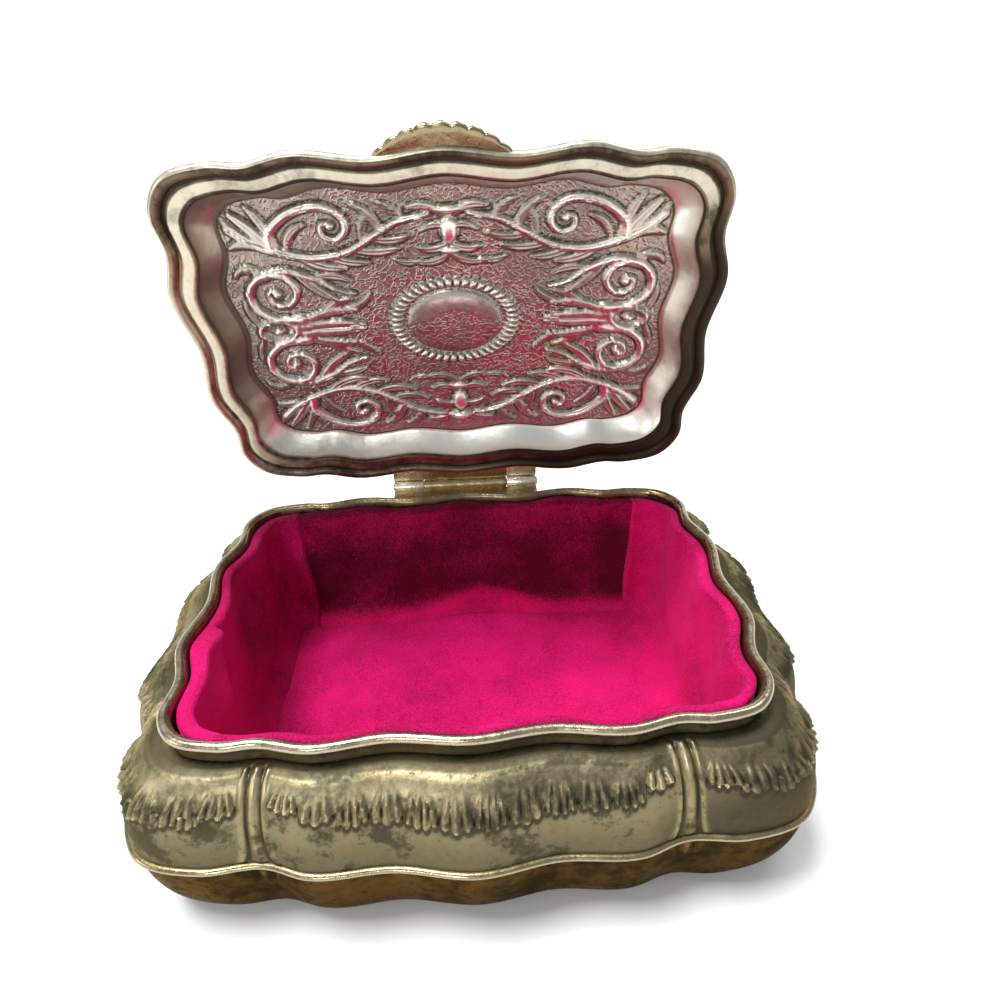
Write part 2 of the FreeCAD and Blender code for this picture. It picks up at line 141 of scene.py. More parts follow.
# Lighter colours for the plain wall of the lid's pressing, which partly paint the light that the wall
# reflects.
WALL = MetalFinish(
    "wall_silver", bright=(0.97, 0.95, 0.87), main=(0.50, 0.45, 0.36), dark=(0.12, 0.10, 0.08),
    warm=(0.52, 0.39, 0.24), warm_share=0.5, blotch_share=0.4, rough_low=0.34, rough_high=0.46,
    blotch_scale=26.0)
# The lid edge's dark bronze colours are partly tarnish and partly painted reflection along its right side and
# hinge side.
LID_EDGE = MetalFinish(
    "bronzed_silver_and_painted_reflection", bright=(0.74, 0.68, 0.54), main=(0.20, 0.155, 0.10), dark=(0.025, 0.02, 0.015),
    warm=(0.32, 0.20, 0.10), warm_share=0.6, blotch_share=0.8, rough_low=0.32, rough_high=0.46,
    blotch_scale=26.0)
HINGE = MetalFinish(
    "hinge_silver", bright=(0.92, 0.88, 0.78), main=(0.82, 0.77, 0.64), dark=(0.12, 0.09, 0.06),
    warm=(0.5, 0.35, 0.16), warm_share=0.35, blotch_share=0.3, rough_low=0.2, rough_high=0.4,
    blotch_scale=120.0)
# A darker brown for the middle of the hinge.
BARREL = MetalFinish(
    "barrel_brown", bright=(0.66, 0.55, 0.33), main=(0.44, 0.35, 0.19), dark=(0.06, 0.045, 0.025),
    warm=(0.30, 0.18, 0.06), warm_share=0.5, blotch_share=0.5, rough_low=0.22, rough_high=0.4,
    blotch_scale=90.0)
PIN = MetalFinish(
    "drawn_pin", bright=(0.8, 0.8, 0.78), main=(0.55, 0.54, 0.52), dark=(0.2, 0.18, 0.16),
    warm=(0.5, 0.4, 0.3), warm_share=0.2, blotch_share=0.2, rough_low=0.25, rough_high=0.4,
    blotch_scale=200.0)
VELVET = ClothFinish(
    "crimson_velvet", deep=(0.08, 0.0004, 0.013), light=(0.67, 0.005, 0.14), sheen=(1.0, 0.12, 0.42),
    sheen_weight=0.1)


class Shader:
    """Builds a node tree in a few short calls."""

    def __init__(self, tree: bpy.types.NodeTree) -> None:
        """Keep the tree that nodes are added to."""
        self.tree = tree

    def node(self, kind: str, **values: object) -> bpy.types.Node:
        """Add a node and set its properties or inputs.

        Args:
            kind: Blender's node type.
            **values: properties, or inputs with their spaces as underscores.

        Returns:
            The new node.
        """
        item = self.tree.nodes.new(kind)
        for name, value in values.items():
            if hasattr(item, name):
                setattr(item, name, value)
            else:
                item.inputs[name.replace("_", " ")].default_value = value
        return item

    def link(self, source: bpy.types.NodeSocket, target: bpy.types.NodeSocket) -> None:
        """Join two sockets."""
        self.tree.links.new(source, target)

    def mix(self, share: object, low: object, high: object) -> bpy.types.NodeSocket:
        """Blend two colours.

        Args:
            share: a socket or a number.
            low: a socket or a colour, at share 0.
            high: a socket or a colour, at share 1.

        Returns:
            The blended colour.
        """
        item = self.node("ShaderNodeMix", data_type="RGBA")
        for value, socket in ((share, item.inputs[0]), (low, item.inputs[6]), (high, item.inputs[7])):
            if isinstance(value, bpy.types.NodeSocket):
                self.link(value, socket)
            elif isinstance(value, tuple):
                socket.default_value = (*value[:3], 1.0)
            else:
                socket.default_value = value
        return item.outputs[2]

    def math(self, operation: str, first: object, second: object,
             clamp: bool = False) -> bpy.types.NodeSocket:
        """Arithmetic on two values, each a socket or a number."""
        item = self.node("ShaderNodeMath", operation=operation, use_clamp=clamp)
        for value, socket in ((first, item.inputs[0]), (second, item.inputs[1])):
            if isinstance(value, bpy.types.NodeSocket):
                self.link(value, socket)
            else:
                socket.default_value = value
        return item.outputs[0]

    def span(self, value: bpy.types.NodeSocket, low: float, high: float, to_low: float = 0.0,
             to_high: float = 1.0) -> bpy.types.NodeSocket:
        """Map a value's range smoothly onto another."""
        item = self.node("ShaderNodeMapRange", interpolation_type="SMOOTHSTEP", From_Min=low, From_Max=high,
                         To_Min=to_low, To_Max=to_high)
        self.link(value, item.inputs["Value"])
        return item.outputs["Result"]

    def fall(self, value: bpy.types.NodeSocket, low: float, high: float) -> bpy.types.NodeSocket:
        """Smooth fall from 1 at low to 0 at high."""
        return self.math("SUBTRACT", 1.0, self.span(value, low, high))

    def centred(self, noise: bpy.types.NodeSocket, gain: float) -> bpy.types.NodeSocket:
        """Noise taken about its middle and scaled."""
        return self.math("MULTIPLY", self.math("SUBTRACT", noise, 0.5), gain)

    def bump(self, height: bpy.types.NodeSocket, surface: bpy.types.Node, strength: float,
             depth: float) -> None:
        """Give a surface its fine relief.

        Args:
            height: the relief's height.
            surface: the shader node.
            strength: how much of it shows.
            depth: its depth in metres.
        """
        item = self.node("ShaderNodeBump", Strength=strength, Distance=depth)
        self.link(height, item.inputs["Height"])
        self.link(item.outputs["Normal"], surface.inputs["Normal"])

    def noise(self, scale: float, detail: float = 6.0, rough: float = 0.6) -> bpy.types.NodeSocket:
        """Noise over the object's own coordinates, in cycles per metre."""
        where = self.node("ShaderNodeTexCoord")
        item = self.node("ShaderNodeTexNoise", Scale=scale, Detail=detail, Roughness=rough)
        self.link(where.outputs["Object"], item.inputs["Vector"])
        return item.outputs[0]


class Palette:
    """Makes each finish once, with shared node groups for tarnish and pile.

    A band is the range of a noise, or of the relief, over which an effect comes in. Scales of noise are in
    cycles per metre, and MIDDLE_SCALE and FINE_SCALE are multiples of a finish's own scale.
    """

    BLOTCH_BAND = (0.462, 0.575)
    SPECK_BAND = (0.52, 0.66)
    WARM_BAND = (0.38, 0.52)
    RECESS_BAND = (-0.35, 0.05)
    ROUGH_BAND = (0.3, 0.75)
    THREAD_BAND = (0.0, 0.085)
    GROUND_BAND = (0.02, 0.25)
    SPECK_DIRT = 0.7
    RECESS_DIRT_AND_SHADE = 0.85
    WEAR_CLEANS = 0.8
    WEAR_START = 0.15
    WEAR_GRAIN = 0.5
    DIRT_ROUGH = 0.25
    COARSE_SHARE = 0.55
    MIDDLE_SCALE = 4.5
    FINE_SCALE = 14
    DENT_SCALE = 240.0
    CURL_SCALE = 760.0
    NAP_SCALE = 70.0
    FIBRE_SCALE = 2400.0
    PILE_LIGHT = 0.74
    NAP_GAIN = 1.1
    FIBRE_GAIN = 1.9
    CARD_TONES = ((0.36, 0.31, 0.25), (0.50, 0.45, 0.37))
    PAPER_TONES = ((0.86, 0.86, 0.855), (0.90, 0.90, 0.895))

    def __init__(self) -> None:
        """Make the shared groups."""
        self.made: dict[str, bpy.types.Material] = {}
        self.tarnish = self._tarnish_group()
        self.pile = self._pile_group()

    @staticmethod
    def _group(name: str, colours: Sequence[str], values: Sequence[str], result: str) -> bpy.types.NodeTree:
        """New node group that gives a colour and one value.

        Args:
            name: the group's name.
            colours: names of its colour inputs.
            values: names of its number inputs.
            result: name of the value that it gives beside the colour.

        Returns:
            The group with its sockets.
        """
        group = bpy.data.node_groups.new(name, "ShaderNodeTree")
        for way, kind, labels in (("INPUT", "NodeSocketColor", colours), ("INPUT", "NodeSocketFloat", values),
                                  ("OUTPUT", "NodeSocketColor", ["Colour"]),
                                  ("OUTPUT", "NodeSocketFloat", [result])):
            for label in labels:
                group.interface.new_socket(name=label, in_out=way, socket_type=kind)
        return group

    def _tarnish_group(self) -> bpy.types.NodeTree:
        """Group that turns relief and noise into colour and dirt, and the painted light and shade carried by
        the relief into bright and dark colour.

        Returns:
            The node group.
        """
        group = self._group("tarnish", ("Bright", "Main", "Dark", "Warm"),
                            ("Warm Share", "Blotch Share", "Blotch", "Fine", "Relief", "Worn"), "Dirt")
        tool = Shader(group)
        given = tool.node("NodeGroupInput").outputs
        result = tool.node("NodeGroupOutput").inputs
        warm = tool.math("MULTIPLY", tool.fall(given["Blotch"], *self.WARM_BAND), given["Warm Share"], True)
        colour = tool.mix(warm, given["Main"], given["Warm"])
        blotch = tool.span(given["Blotch"], *self.BLOTCH_BAND)
        speck = tool.math("MULTIPLY", tool.span(given["Fine"], *self.SPECK_BAND), self.SPECK_DIRT)
        dirt = tool.math("MULTIPLY", tool.math("MAXIMUM", blotch, speck), given["Blotch Share"], True)
        # Low relief darkens: tarnish in hollows, and painted shade where the relief carries it.
        recess_and_shade = tool.math("MULTIPLY", tool.fall(given["Relief"], *self.RECESS_BAND), self.RECESS_DIRT_AND_SHADE)
        dirt = tool.math("MAXIMUM", dirt, recess_and_shade)
        # Worn brightens: wear on raised places, and painted highlights where the relief carries them.
        dirt = tool.math("SUBTRACT", dirt, tool.math("MULTIPLY", given["Worn"], self.WEAR_CLEANS), True)
        colour = tool.mix(given["Worn"], colour, given["Bright"])
        tool.link(tool.mix(dirt, colour, given["Dark"]), result["Colour"])
        tool.link(dirt, result["Dirt"])
        return group

    def _pile_group(self) -> bpy.types.NodeTree:
        """Group that lays the nap of a pile fabric in patches and adds painted light and shade.

        Returns:
            The node group.
        """
        group = self._group("pile", ("Deep", "Light"), ("Nap", "Fibre", "Lay"), "Height")
        tool = Shader(group)
        given = tool.node("NodeGroupInput").outputs
        result = tool.node("NodeGroupOutput").inputs
        nap = tool.centred(given["Nap"], self.NAP_GAIN)
        # Shading adds painted light and shade to the nap's lightness.
        grain = tool.math("ADD", tool.centred(given["Fibre"], self.FIBRE_GAIN), given["Lay"])
        share = tool.math("ADD", tool.math("ADD", self.PILE_LIGHT, nap), grain, True)
        tool.link(tool.mix(share, given["Deep"], given["Light"]), result["Colour"])
        tool.link(tool.math("ADD", given["Fibre"], tool.math("MULTIPLY", nap, 0.5)), result["Height"])
        return group

    def _start(self, name: str) -> tuple[bpy.types.Material, Shader, bpy.types.Node]:
        """New material with its tree and shader node."""
        material = bpy.data.materials.new(name)
        material.use_nodes = True
        return material, Shader(material.node_tree), material.node_tree.nodes["Principled BSDF"]

    def metal(self, finish: MetalFinish) -> bpy.types.Material:
        """Tarnished metal whose wear follows the relief written on the mesh.

        Args:
            finish: colours and roughness.

        Returns:
            The material.
        """
        if finish.name in self.made:
            return self.made[finish.name]
        material, tool, surface = self._start(finish.name)
        tarnish = tool.node("ShaderNodeGroup", node_tree=self.tarnish)
        for label in ("Bright", "Main", "Dark", "Warm"):
            tarnish.inputs[label].default_value = (*getattr(finish, label.lower()), 1.0)
        tarnish.inputs["Warm Share"].default_value = finish.warm_share
        tarnish.inputs["Blotch Share"].default_value = finish.blotch_share
        coarse = tool.math("MULTIPLY", tool.noise(finish.blotch_scale), self.COARSE_SHARE)
        middle = tool.noise(finish.blotch_scale * self.MIDDLE_SCALE, 7.0, 0.68)
        blotch = tool.math("ADD", coarse, tool.math("MULTIPLY", middle, 1 - self.COARSE_SHARE))
        fine = tool.noise(finish.blotch_scale * self.FINE_SCALE, 5.0, 0.7)
        relief = tool.node("ShaderNodeAttribute", attribute_name="relief").outputs["Fac"]
        # worn follows real wear and the painted highlights written into the relief attribute.
        worn = tool.math("ADD", relief, tool.centred(fine, self.WEAR_GRAIN))
        worn = tool.span(worn, finish.relief_low + self.WEAR_START, finish.relief_high)
        for label, value in (("Blotch", blotch), ("Fine", fine), ("Relief", relief), ("Worn", worn)):
            tool.link(value, tarnish.inputs[label])
        tool.link(tarnish.outputs["Colour"], surface.inputs["Base Color"])
        rough = tool.span(fine, *self.ROUGH_BAND, finish.rough_low, finish.rough_high)
        rough = tool.math("ADD", rough, tool.math("MULTIPLY", tarnish.outputs["Dirt"], self.DIRT_ROUGH), True)
        tool.link(rough, surface.inputs["Roughness"])
        dents = tool.math("MULTIPLY", tool.noise(self.DENT_SCALE, 4.0), 0.9)
        height = tool.math("ADD", dents, tool.math("MULTIPLY", fine, 0.35))
        if finish.stipple > 0:
            curl = tool.math("ABSOLUTE", tool.centred(tool.noise(self.CURL_SCALE, 1.0, 0.4), 1.0), 0.0)
            thread = tool.fall(curl, *self.THREAD_BAND)
            ground = tool.fall(relief, *self.GROUND_BAND)
            curls = tool.math("MULTIPLY", tool.math("MULTIPLY", thread, ground), 1.5 * finish.stipple)
            height = tool.math("ADD", height, curls)
        tool.bump(height, surface, 0.35, 0.0004)
        surface.inputs["Metallic"].default_value = 1.0
        surface.inputs["Specular Tint"].default_value = (*finish.grazing, 1.0)
        self.made[finish.name] = material
        return material

    def velvet(self, finish: ClothFinish) -> bpy.types.Material:
        """Pile fabric with nap patches, fibre grain, sheen and painted light and shade.

        Args:
            finish: colours and sheen.

        Returns:
            The material.
        """
        if finish.name in self.made:
            return self.made[finish.name]
        material, tool, surface = self._start(finish.name)
        pile = tool.node("ShaderNodeGroup", node_tree=self.pile)
        pile.inputs["Deep"].default_value = (*finish.deep, 1.0)
        pile.inputs["Light"].default_value = (*finish.light, 1.0)
        tool.link(tool.noise(self.NAP_SCALE, 5.0, 0.55), pile.inputs["Nap"])
        tool.link(tool.noise(self.FIBRE_SCALE, 3.0, 0.7), pile.inputs["Fibre"])
        # The relief attribute of the velvet carries painted light and shade.
        painted_light = tool.node("ShaderNodeAttribute", attribute_name="relief").outputs["Fac"]
        tool.link(painted_light, pile.inputs["Lay"])
        tool.link(pile.outputs["Colour"], surface.inputs["Base Color"])
        tool.bump(pile.outputs["Height"], surface, 0.55, 0.0005)
        surface.inputs["Roughness"].default_value = 0.88
        surface.inputs["Specular IOR Level"].default_value = 0.15
        surface.inputs["Sheen Weight"].default_value = finish.sheen_weight
        surface.inputs["Sheen Roughness"].default_value = 0.38
        surface.inputs["Sheen Tint"].default_value = (*finish.sheen, 1.0)
        self.made[finish.name] = material
        return material

    def card(self) -> bpy.types.Material:
        """Grey-brown pasteboard with a fibre grain."""
        if "pasteboard" in self.made:
            return self.made["pasteboard"]
        material, tool, surface = self._start("pasteboard")
        grain = tool.noise(900.0, 6.0, 0.7)
        tone = tool.mix(tool.span(grain, 0.3, 0.7), *self.CARD_TONES)
        tool.link(tone, surface.inputs["Base Color"])
        tool.bump(grain, surface, 0.3, 0.0003)
        surface.inputs["Roughness"].default_value = 0.92
        self.made["pasteboard"] = material
        return material

    def paper(self) -> bpy.types.Material:
        """Pale backdrop paper."""
        material, tool, surface = self._start("backdrop_paper")
        grain = tool.noise(30.0, 3.0, 0.5)
        tool.link(tool.mix(grain, *self.PAPER_TONES), surface.inputs["Base Color"])
        surface.inputs["Roughness"].default_value = 0.75
        return material


@dataclass(frozen=True)
class Outline:
    """Key sizes of the serpentine outline at one level."""

    notch_x: float
    front: float
    side: float
    notch_y: float
    centre_swell: float
    dip_swell: float
    lobe_swell: float
    flank_swell: float
    flank_dip: float
    corner_swell: float
    corner_x: float
    corner_y: float

    def values(self) -> Array:
        """The sizes in a row, in the order of the fields."""
        return np.array(list(self.__dict__.values()), float)


class Serpentine:
    """The eight-lobed outline, from the mouth at spread 0 to the girth at spread 1."""

    MOUTH = Outline(36.3, 38.5, 54.7, 23.4, 1.95, 0.45, 1.75, 2.7, 1.0, 0.3, 43.0, 31.0)
    GIRTH = Outline(38.2, 47.0, 65.2, 27.0, 4.5, 2.3, 2.6, 4.6, 3.2, 0.6, 49.0, 35.0)
    FOLLOW = 0.7
    NOTCH_FOLLOW = 0.7
    DIP_AT = 0.38
    LOBE_AT = 0.78
    FLANK_AT = 0.58
    NOTCHES = (3, 7, 11, 15, 21, 25, 29, 33)
    SPANS = 36

    def keys(self, spread: float, inset: float) -> Array:
        """Key points of a quarter, from the front centre to the middle of a side."""
        low = self.MOUTH.values()
        at = Outline(*(low + (self.GIRTH.values() - low) * spread))
        front = at.front - inset
        side = at.side - inset
        follow = self.FOLLOW * max(inset, 0.0)
        corner_x = at.corner_x - follow
        corner_y = at.corner_y - follow
        notch_x = at.notch_x - self.NOTCH_FOLLOW * follow
        notch_y = at.notch_y - self.NOTCH_FOLLOW * follow
        corner_front = front + at.corner_swell
        corner_side = side + at.corner_swell
        turn = math.sqrt(0.5)
        return np.array([
            (0.0, front + at.centre_swell), (self.DIP_AT * notch_x, front + at.dip_swell),
            (self.LOBE_AT * notch_x, front + at.lobe_swell), (notch_x, front), (corner_x, corner_front),
            (corner_x + (corner_side - corner_x) * turn, corner_y + (corner_front - corner_y) * turn),
            (corner_side, corner_y), (side, notch_y), (side + at.flank_swell, self.FLANK_AT * notch_y),
            (side + at.flank_dip, 0.0)])

    def ring(self, spread: float, inset: float, per_span: int) -> Array:
        """Closed outline as points, starting at the front centre and going to the right.

        Args:
            spread: 0 at the mouth, 1 at the girth.
            inset: how far the outline is drawn in.
            per_span: points for each of the 36 spans.

        Returns:
            An array of points, two columns.
        """
        guide = self.keys(0.5, 0.0)
        gaps = np.linalg.norm(np.diff(guide, axis=0), axis=1)
        gaps = np.concatenate([gaps[:1], gaps, gaps[-1:]])
        core = self.keys(spread, inset)
        points = np.vstack([core[1] * (-1, 1), core, core[-2] * (1, -1)])
        rates = np.diff(points, axis=0) / gaps[:, None]
        share = (gaps[:-1] / (gaps[:-1] + gaps[1:]))[:, None]
        slopes = rates[:-1] * (1 - share) + rates[1:] * share
        t = (np.arange(per_span) / per_span)[None, :, None]
        ease = t * t * (3 - 2 * t)
        swing = slopes[:-1, None] * (1 - t) - slopes[1:, None] * t
        bulge = swing * (gaps[1:-1, None, None] * t * (1 - t))
        curve = core[:-1, None] * (1 - ease) + core[1:, None] * ease + bulge
        quarter = np.vstack([curve.reshape(-1, 2), core[-1:]])
        back = quarter[::-1]
        return np.vstack([quarter[:-1] * (1, -1), back[:-1], quarter[:-1] * (-1, 1), back[:-1] * (-1, -1)])

    def panels(self, ring: Array) -> tuple[Array, Array]:
        """Place of each point between the two notches beside it.

        Args:
            ring: a closed outline from ring().

        Returns:
            Distance along the outline from the middle of the point's panel, and that panel's length.
        """
        per_span = len(ring) // self.SPANS
        shift = self.NOTCHES[-1] * per_span
        rolled = np.roll(ring, -shift, axis=0)
        lengths = np.linalg.norm(np.diff(np.vstack([rolled, rolled[:1]]), axis=0), axis=1)
        run = np.concatenate([[0.0], np.cumsum(lengths)])
        marks = [((notch - self.NOTCHES[-1]) % self.SPANS) * per_span for notch in self.NOTCHES]
        marks = sorted(marks) + [len(ring)]
        place = np.zeros(len(ring))
        size = np.zeros(len(ring))
        for low, high in zip(marks, marks[1:]):
            place[low:high] = run[low:high] - (run[low] + run[high]) / 2
            size[low:high] = run[high] - run[low]
        return np.roll(place, shift), np.roll(size, shift)


FORM = Serpentine()


@dataclass
class Pose:
    """Where the lid stands: the hinge axis and how far the lid is open."""

    hinge_y: float = 44.8
    hinge_z: float = 42.2
    open_angle: float = 74.0

    def swing(self, points: Array) -> Array:
        """Turn points of the shut lid to where the lid stands.

        Args:
            points: coordinates with x, y and z in the last axis.

        Returns:
            The turned coordinates.
        """
        turn = math.radians(self.open_angle)
        along = points[..., 1] - self.hinge_y
        above = points[..., 2] - self.hinge_z
        out = points.copy()
        out[..., 1] = self.hinge_y + along * math.cos(turn) + above * math.sin(turn)
        out[..., 2] = self.hinge_z - along * math.sin(turn) + above * math.cos(turn)
        return out


class Builder:
    """Shared steps that turn coordinates into finished pieces."""

    def __init__(self, palette: Palette) -> None:
        """Keep the finishes and the lid's place."""
        self.palette = palette
        self.pose = Pose()

    @staticmethod
    def emboss(grid: Array, relief: Array, row: int) -> Array:
        """Push a closed grid's points out along its normals.

        Args:
            grid: rows, columns and coordinates.
            relief: how far each point moves.
            row: a row of the outer face, which tells outwards from inwards.

        Returns:
            The moved grid.
        """
        across = np.roll(grid, -1, axis=1) - np.roll(grid, 1, axis=1)
        along = np.roll(grid, -1, axis=0) - np.roll(grid, 1, axis=0)
        facing = np.cross(across, along)
        facing = facing / np.maximum(np.linalg.norm(facing, axis=2, keepdims=True), 1e-9)
        return grid + facing * relief[..., None] * np.sign((facing[row, 0] * grid[row, 0] * (1, 1, 0)).sum())

    def grid(self, name: str, points: Array, closed: bool, poles: Sequence[Array] = (),
             relief: Optional[Array] = None, crease: float = CREASE) -> bpy.types.Object:
        """Mesh over a grid of points whose columns go round.

        Args:
            name: the piece's name.
            points: rows, columns and coordinates in millimetres.
            closed: whether the last row joins the first.
            poles: a middle point for the first row and one for the last.
            relief: one value a point, written as an attribute, which steers wear and dirt and on some pieces
                painted light and shade.
            crease: angle in degrees past which an edge stays sharp.

        Returns:
            The new object.
        """
        rows, columns = points.shape[:2]
        index = np.arange(rows * columns).reshape(rows, columns)
        upper = np.roll(index, -1, axis=0)
        if not closed:
            index, upper = index[:-1], upper[:-1]
        corners = [index, np.roll(index, -1, axis=1), np.roll(upper, -1, axis=1), upper]
        polygons = np.stack(corners, axis=2).reshape(-1, 4).tolist()
        vertices = points.reshape(-1, 3)
        values = np.zeros(len(vertices)) if relief is None else relief.reshape(-1)
        for number, pole in enumerate(poles):
            row = np.arange(columns) + (0 if number == 0 else (rows - 1) * columns)
            pairs = zip(row.tolist(), np.roll(row, -1).tolist())
            top = len(vertices)
            vertices = np.vstack([vertices, pole[None]])
            values = np.append(values, values[row].mean())
            polygons += [(top, b, a) if number == 0 else (top, a, b) for a, b in pairs]
        mesh = bpy.data.meshes.new(name)
        mesh.from_pydata((vertices * MM).tolist(), [], polygons)
        mark = mesh.attributes.new("relief", "FLOAT", "POINT")
        mark.data.foreach_set("value", values.astype(np.float32))
        item = bpy.data.objects.new(name, mesh)
        bpy.context.scene.collection.objects.link(item)
        self.focus(item)
        bpy.ops.object.mode_set(mode="EDIT")
        bpy.ops.mesh.select_all(action="SELECT")
        bpy.ops.mesh.normals_make_consistent(inside=False)
        bpy.ops.object.mode_set(mode="OBJECT")
        bpy.ops.object.shade_smooth_by_angle(angle=math.radians(crease))
        return item

    @staticmethod
    def focus(item: bpy.types.Object) -> None:
        """Select one object alone and make it active."""
        bpy.ops.object.select_all(action="DESELECT")
        item.select_set(True)
        bpy.context.view_layer.objects.active = item

    @staticmethod
    def apply(item: bpy.types.Object) -> None:
        """Apply every modifier of a piece."""
        Builder.focus(item)
        for modifier in list(item.modifiers):
            bpy.ops.object.modifier_apply(modifier=modifier.name)

    def place(self, item: bpy.types.Object, body: Body, slot: Slot, material: bpy.types.Material,
              nodes: Sequence[str] = ()) -> bpy.types.Object:
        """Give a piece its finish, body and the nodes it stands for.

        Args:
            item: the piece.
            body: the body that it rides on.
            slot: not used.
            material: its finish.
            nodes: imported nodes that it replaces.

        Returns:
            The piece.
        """
        item.data.materials.clear()
        item.data.materials.append(material)
        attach(item, body.value)
        if nodes:
            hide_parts(*nodes)
        LOG.info("%s: %d faces", item.name, len(item.data.polygons))
        return item

    def skin(self, name: str, points: Array, body: Body, slot: Slot, finish: MetalFinish,
             nodes: Sequence[str] = (), closed: bool = True, poles: Sequence[Array] = (),
             relief: Optional[Array] = None, crease: float = CREASE) -> bpy.types.Object:
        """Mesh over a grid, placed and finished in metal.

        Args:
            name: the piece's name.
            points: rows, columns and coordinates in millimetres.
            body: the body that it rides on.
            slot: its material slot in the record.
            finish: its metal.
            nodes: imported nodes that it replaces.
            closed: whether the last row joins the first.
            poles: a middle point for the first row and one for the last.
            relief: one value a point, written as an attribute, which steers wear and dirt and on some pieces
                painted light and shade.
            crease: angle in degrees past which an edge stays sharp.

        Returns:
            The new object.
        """
        item = self.grid(name, points, closed, poles, relief, crease)
        return self.place(item, body, slot, self.palette.metal(finish), nodes)

    def rings(self, rows: Sequence[tuple[float, float, float]], per_span: int) -> Array:
        """Stack outlines into a grid.

        Args:
            rows: spread, inset and height of each outline.
            per_span: points in each span.

        Returns:
            Rows, columns and coordinates.
        """
        layers = []
        for spread, inset, height in rows:
            ring = FORM.ring(spread, inset, per_span)
            layers.append(np.column_stack([ring, np.full(len(ring), height)]))
        return np.stack(layers)


def steps(low: float, high: float, count: int) -> list[float]:
    """Evenly spaced values with both ends."""
    return np.linspace(low, high, count).tolist()


def end_points(grid: Array) -> list[Array]:
    """Middle points of a grid's first and last rows, which close its ends."""
    return [grid[0].mean(axis=0), grid[-1].mean(axis=0)]


def coordinates(mesh: bpy.types.Mesh) -> Array:
    """Vertices of a mesh as rows of an array."""
    flat = np.zeros(len(mesh.vertices) * 3)
    mesh.vertices.foreach_get("co", flat)
    return flat.reshape(-1, 3)


def bell(value: Array, centre: float, width: float) -> Array:
    """Smooth bump of height 1."""
    return np.exp(-((value - centre) / width) ** 2)


def ramp(value: Array, low: float, high: float) -> Array:
    """Straight rise from 0 at low to 1 at high, level beyond."""
    return np.clip((value - low) / (high - low), 0, 1)


def smooth(value: Array, low: float, high: float) -> Array:
    """Rise from 0 at low to 1 at high with soft ends."""
    share = ramp(value, low, high)
    return share * share * (3 - 2 * share)


@dataclass
class Swag:
    """Fans of flutes that hang in a swag across each panel of the belly.

    dip is how far above the girth the middle fan ends. rise and hook lift the fans beside it, and trim
    shortens them. spread and taper are a fan's width at its foot and what it loses towards the top, as
    shares of its cell.
    """

    height: float = 1.0
    fan_width: float = 6.1
    fan_length: float = 7.9
    trim: float = 3.4
    margin: float = 5.4
    dip: float = 7.0
    rise: float = 2.6
    hook: float = 3.6
    spread: float = 1.14
    taper: float = 0.58
    drops: tuple[float, float] = (4.0, 3.0)
    drop_round: float = 0.8
    fan_round: float = 1.3

    def relief(self, place: Array, length: Array, along: float) -> tuple[Array, Array]:
        """Relief of the fans at one level.

        Args:
            place: distance from the middle of the panel.
            length: the panel's length.
            along: distance up the profile from the girth.

        Returns:
            Height of the relief, and a tone that is lighter on the flutes' crests with a painted highlight
            along their lips, and darker in a line round their rounded ends and between the fans.
        """
        room = length - self.margin
        count = np.maximum(np.round(room / self.fan_width), 2)
        width = room / count
        number = np.clip(np.floor(place / width + count / 2), 0, count - 1)
        middle = (number + 0.5 - count / 2) * width
        share = np.abs(2 * middle / length)
        long = self.fan_length - self.trim * share ** 2
        foot = self.dip + self.rise * share ** 2 + self.hook * share ** 6 + 0.2 * np.sin(2.4 * number)
        above = along - foot
        narrow = self.spread - self.taper * ramp(above, 0, long)
        part = (place - middle) / (width * narrow)
        cell = (part + 0.5) * np.where(number % 2 < 0.5, *self.drops)
        across = np.cos(np.pi * (cell - np.floor(cell) - 0.5))
        past_tip = above - self.drop_round * (1 - across) - self.fan_round * (2 * part) ** 2
        gap = bell(np.abs(place - middle) / width, 0.5 * np.minimum(narrow, 1.0), 0.07) * ramp(above, 0, 1.2)
        fade = smooth(long - above, 0, 0.8 * long)
        end = smooth(past_tip, 0, 0.8)
        line = bell(past_tip, -0.35, 0.4) * fade
        # Painted highlight: a pale line along the rounded foot of each fan.
        lip = bell(past_tip, 0.6, 0.4) * fade
        inside = (np.abs(part) < 0.5) & (np.abs(place) < room / 2)
        form = (self.height * (0.12 + 0.78 * across) * end + 0.2 * lip) * fade * (1 - 0.6 * gap) - 0.16 * line
        tone = (0.85 * across - 0.46) * end * fade + 0.3 * lip - 0.4 * line
        return np.where(inside, form, 0.0), np.where(inside, tone, 0.0) - 0.3 * gap * fade


